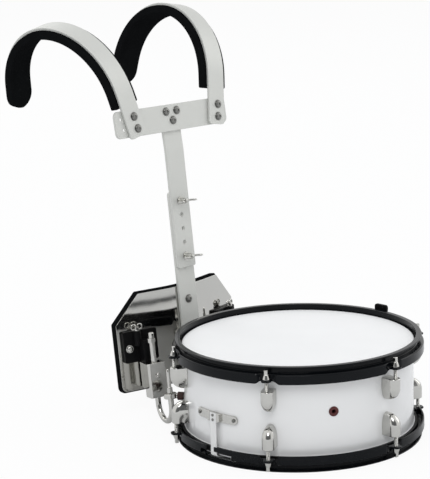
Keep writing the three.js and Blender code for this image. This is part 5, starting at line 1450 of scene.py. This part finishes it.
class DRUM_OT_hooks(DrumOperator, Operator):
    """Make the mounting blocks, housings, J hooks, wing screws and eye bolts"""

    bl_idname = "drum.hooks"
    bl_label = "Hooks and Eye Bolts"

    def execute(self, context):
        for word, side in SIDES.items():
            place = wing_frame(side)
            screw_x = side * (WING_SCREW_S - HOOK_S)
            self.make_block(word, side, place, screw_x)
            self.make_housing(word, place)
            self.make_hook(word, place)
            self.make_wing_screw(word, place, screw_x)
            self.make_eye(word, place)
        return {"FINISHED"}

    def make_block(self, word, side, place, screw_x):
        node = f"mounting_block_{word}"
        outline = rectangle(BLOCK_WIDTH, BLOCK_HEIGHT, side * 4.5, -BLOCK_DROP - BLOCK_HEIGHT / 2)
        base = placed(plate(fillet(outline, 3, 5), BLOCK_DEPTH, 1.0), shift(0, -CLEAR - BLOCK_DEPTH, 0))
        depth = BOSS_OUT - 4
        middle = -BOSS_OUT + depth / 2
        boss = bevelled(box(BOSS_WIDTH, depth, 36, 0, middle, -90), 1.0, 3)
        web = bevelled(box(BOSS_WIDTH, depth, 43.7, 0, middle, -130.15), 1.6, 3)
        piece(f"hook_web_{word}", web, place, "carrier", "chrome_plate")
        half = 6
        centre = 8.5
        outline = [(-half, 0.0), (half, 0.0), (half, centre)]
        for k in range(1, 16):
            across, up = polar(half, math.pi * k / 16)
            outline.append((across, centre + up))
        outline.append((-half, centre))
        nest = placed(plate(outline, 24, 0.6), turn(-RIGHT_ANGLE, "X") @ turn(math.pi, "Y"))
        placed(nest, shift(screw_x, -4, -BLOCK_DROP))
        piece(node + "_cast", merged(base, boss, nest), place, "carrier", "black_metal", [node])
        bolt_place = place @ shift(side * (118 - HOOK_S), -BLOCK_DEPTH - CLEAR, -85)
        piece(f"bolt_block_{word}", clean(dome_bolt(10, 3.8, 13)), bolt_place, "carrier", "chrome_plate")

    def make_housing(self, word, place):
        node = f"hook_housing_{word}"
        middle = -BOSS_OUT - CLEAR - HOUSING_DEPTH / 2
        outline = fillet(rectangle(HOUSING_WIDTH, HOUSING_DEPTH, 0, middle), 4, 6)
        body = plate(outline, HOUSING_HEIGHT, 1.2, [circle(HOOK_ROD + 0.6, 0, -HOOK_OUT)])
        placed(body, shift(0, 0, HOUSING_TOP) @ turn(-RIGHT_ANGLE, "X"))
        bolt = clean(dome_bolt(8, 3.2, 10))
        placed(bolt, shift(0, -BOSS_OUT - HOUSING_DEPTH - CLEAR, -126))
        piece(node + "_cast", merged(clean(body), bolt), place, "carrier", "chrome_plate", [node])

    def make_hook(self, word, place):
        node = f"hook_{word}"
        centre = -HOOK_OUT - HOOK_BEND
        prong = centre - HOOK_BEND
        top = carrier_height(EYE_LEVEL + 43, HOOK_PRONG_Y)
        shoulder = carrier_height(EYE_LEVEL + 12, HOOK_PRONG_Y)
        path = [(0, -HOOK_OUT, -58), (0, -HOOK_OUT, -59.4)]
        for k in range(33):
            out, down = polar(HOOK_BEND, -math.pi * k / 32)
            path.append((0, centre + out, HOOK_BEND_LEVEL + down))
        path.append((0, prong, shoulder))
        rod = tube(path, HOOK_ROD, 24, (0.75, 1.0))
        tip = lathe([
            *raised(shoulder, (0, -0.2), (4.5, -0.2), (4.4, 0.5), (3.2, 1.6), (3.0, 2.4)),
            *raised(top, (3.0, -5), (2.7, -3), (1.9, -0.9), (1.2, -0.1), (0, 0)),
        ], 28)
        placed(tip, shift(0, prong, 0))
        nut = placed(bevelled(cylinder(6.5, 0, 7, 6), 0.5, 2), shift(0, -HOOK_OUT, -74))
        piece(node + "_rod", merged(clean(rod), clean(tip), nut), place, node, "chrome_plate", [node])

    def make_wing_screw(self, word, place, screw_x):
        node = f"wing_screw_{word}"
        shank = lathe([
            (0, -12), (2.6, -12), (3, -11.4), (3, 1.2), (4, 1.0), (4.2, 2), (3.6, 6.6), (3.0, 7), (0, 7),
        ], 28)
        loops = []
        for hand in (-1, 1):
            rings = []
            for k in range(32):
                cosine, sine = polar(1.0, FULL_TURN * k / 32)
                centre = Vector((hand * 5.25 + 4.0 * cosine, 0, 6.5 + 4.3 * sine))
                rings.append(circled(centre, Vector((cosine, 0, sine)), Vector((0, 1, 0)), 1.2, 12))
            loops.append(clean(loft(rings, closed=True)))
        screw_place = place @ shift(screw_x, -WING_SCREW_OUT, -BLOCK_DROP)
        piece(node + "_wire", merged(clean(shank), *loops), screw_place, node, "chrome_plate", [node])

    def make_eye(self, word, place):
        node = f"eye_bolt_{word}"
        level = carrier_height(EYE_LEVEL, HOOK_PRONG_Y)
        spot = place @ Vector((0, -HOOK_OUT - 2 * HOOK_BEND, level)) - DRUM.translation
        radial = math.hypot(spot.x, spot.y)
        outwards = shift(0, 0, spot.z) @ turn(math.atan2(spot.y, spot.x), "Z") @ turn(RIGHT_ANGLE, "Y")
        arm = lathe([
            *raised(SHELL_RADIUS, (0, CLEAR), (10, CLEAR), (10, 1.8), (9.2, 2.8), (5.2, 3.4), (4.1, 4.6)),
            *raised(radial, (4, -8), (0, -8)),
        ], 32)
        ring = lathe([
            (5.0, -3.2), (5.6, -4), (9.6, -4), (10.5, -3), (10.5, 3), (9.6, 4), (5.6, 4), (5.0, 3.2),
        ], 40)
        placed(ring, shift(*spot) @ turn(-CARRIER_LEAN, "X"))
        eye = merged(clean(placed(arm, outwards)), clean(ring))
        piece(node + "_cast", eye, DRUM, "drum", "chrome_plate", [node])
        sleeve = lathe([
            *raised(SHELL_RADIUS, (4.1, 5.2), (6.2, 5.2), (6.6, 5.8)),
            *raised(radial, (6.6, -12.6), (6.2, -12), (4.1, -12)),
        ], 32)
        placed(sleeve, outwards)
        piece(f"eye_sleeve_{word}", sleeve, DRUM, "drum", "foam_pad", finish="sleeve_rubber")


class DRUM_OT_stage(DrumOperator, Operator):
    """Set up the floor, the lamps, the world and the camera"""

    bl_idname = "drum.stage"
    bl_label = "Stage"

    def execute(self, context):
        self.make_floor()
        self.make_world(context.scene)
        self.make_lamps()
        self.make_camera(context.scene)
        context.scene.view_settings.view_transform = "Standard"
        return {"FINISHED"}

    def make_floor(self):
        """White paper to the camera and grey in gloss, but for the drum's own shadow"""
        finish = Finish("studio_floor")
        matt = finish.shader(Base_Color=FLOOR_TONE, Roughness=1.0, Specular_IOR_Level=0.0)
        paper = finish.add("ShaderNodeEmission", None, {"Color": WHITE, "Strength": 1.0})
        centre = DRUM.translation * MM
        spread = finish.add("ShaderNodeVectorMath", {"operation": "SUBTRACT"}, {0: finish.place, 1: centre})
        reach = finish.add("ShaderNodeVectorMath", {"operation": "LENGTH"}, {0: spread}, "Value")
        paper_share = finish.ray("Camera") * PAPER_IN_VIEW + finish.ray("Glossy") * PAPER_IN_GLOSS
        share = paper_share * (reach > SHADOW_RADIUS)
        finish.end(finish.add("ShaderNodeMixShader", None, {0: share, 1: matt, 2: paper}))
        bm = bmesh.new()
        bmesh.ops.create_circle(bm, cap_ends=True, segments=96, radius=FLOOR_RADIUS)
        floor = linked("floor", written(bm, "floor"))
        floor.data.materials.append(finish.material)
        floor.location.z = -FLOOR_DROP

    def make_world(self, scene):
        """Soft light, white behind the object, and a room with one dark side for the gloss"""
        scene.world = bpy.data.worlds.new("studio")
        scene.world.use_nodes = True
        room = Nodes(scene.world.node_tree)
        soft = room.add("ShaderNodeBackground", None, {"Color": (0.95, 0.97, 1.0), "Strength": ROOM_STRENGTH})
        white = room.add("ShaderNodeBackground", None, {"Color": WHITE, "Strength": 1.0})
        way = room.add("ShaderNodeTexCoord", output="Generated")
        sides = {0: way, 1: DARK_SIDE}
        facing = room.add("ShaderNodeVectorMath", {"operation": "DOT_PRODUCT"}, sides, "Value")
        stops = {"stops": [(0.8, WHITE), (0.92, (0.16, 0.165, 0.17))]}
        tone = room.add("ShaderNodeValToRGB", stops, {"Fac": facing * 0.5 + 0.5}, "Color")
        walls = room.add("ShaderNodeBackground", None, {"Color": tone})
        seen = room.ray("Camera") + room.ray("Transmission")
        plain = room.add("ShaderNodeMixShader", None, {0: seen, 1: soft, 2: white})
        shiny = room.add("ShaderNodeMixShader", None, {0: room.ray("Glossy"), 1: plain, 2: walls})
        room.add("ShaderNodeOutputWorld", None, {"Surface": shiny})

    def make_lamps(self):
        for name, place, size, power in (
            ("key", (-4.4, -3.6, 6.4), 3.6, 205),
            ("fill", (5.8, -2.6, 3.2), 4.4, 66),
            ("rim", (1.2, 5.6, 4.8), 3.2, 70),
        ):
            lamp = bpy.data.lights.new(name, "AREA")
            lamp.shape = "SQUARE"
            lamp.size = size
            lamp.energy = power
            obj = linked(name, lamp)
            obj.location = place
            obj.rotation_euler = (LAMP_TARGET - Vector(place)).to_track_quat("-Z", "Y").to_euler()

    def make_camera(self, scene):
        """The camera that was fitted to the photograph"""
        right = Vector((0.71912817, -0.69423397, -0.02989761))
        up = Vector((0.16410583, 0.12786708, 0.97812028))
        spot = (Vector((-1830.698, -1743.350, 760.838 + DRUM_MIDDLE)) + DRUM.translation) * MM
        data = bpy.data.cameras.new("photo")
        data.sensor_width = SENSOR
        data.lens = self.sizes.lens
        data.clip_end = 60
        camera = linked("photo", data)
        rotation = Matrix((right, up, right.cross(up))).transposed().to_4x4()
        camera.matrix_world = Matrix.Translation(spot) @ rotation
        scene.camera = camera


class DRUM_PT_panel(Panel):
    """The drum's parts and settings in the sidebar"""

    bl_idname = "DRUM_PT_panel"
    bl_label = "Marching Snare Drum"
    bl_space_type = "VIEW_3D"
    bl_region_type = "UI"
    bl_category = "Drum"

    def draw(self, context):
        layout = self.layout
        for group in (context.scene.drum_colours, context.scene.drum_sizes):
            for key in group.__annotations__:
                layout.prop(group, key)
        for operator in OPERATORS:
            layout.operator(operator.bl_idname)


OPERATORS = (
    DRUM_OT_finishes,
    DRUM_OT_shell,
    DRUM_OT_hoops,
    DRUM_OT_tension,
    DRUM_OT_snares,
    DRUM_OT_throw_off,
    DRUM_OT_bars,
    DRUM_OT_yokes,
    DRUM_OT_wing_bolts,
    DRUM_OT_belly,
    DRUM_OT_hooks,
    DRUM_OT_stage,
)
CLASSES = (DrumColours, DrumSizes, *OPERATORS, DRUM_PT_panel)


def register():
    for item in CLASSES:
        bpy.utils.register_class(item)
    bpy.types.Scene.drum_colours = PointerProperty(type=DrumColours)
    bpy.types.Scene.drum_sizes = PointerProperty(type=DrumSizes)


def unregister():
    del bpy.types.Scene.drum_sizes
    del bpy.types.Scene.drum_colours
    for item in reversed(CLASSES):
        bpy.utils.unregister_class(item)


def main():
    register()
    for operator in OPERATORS:
        group, name = operator.bl_idname.split(".")
        getattr(getattr(bpy.ops, group), name)()


if __name__ == "__main__":
    main()
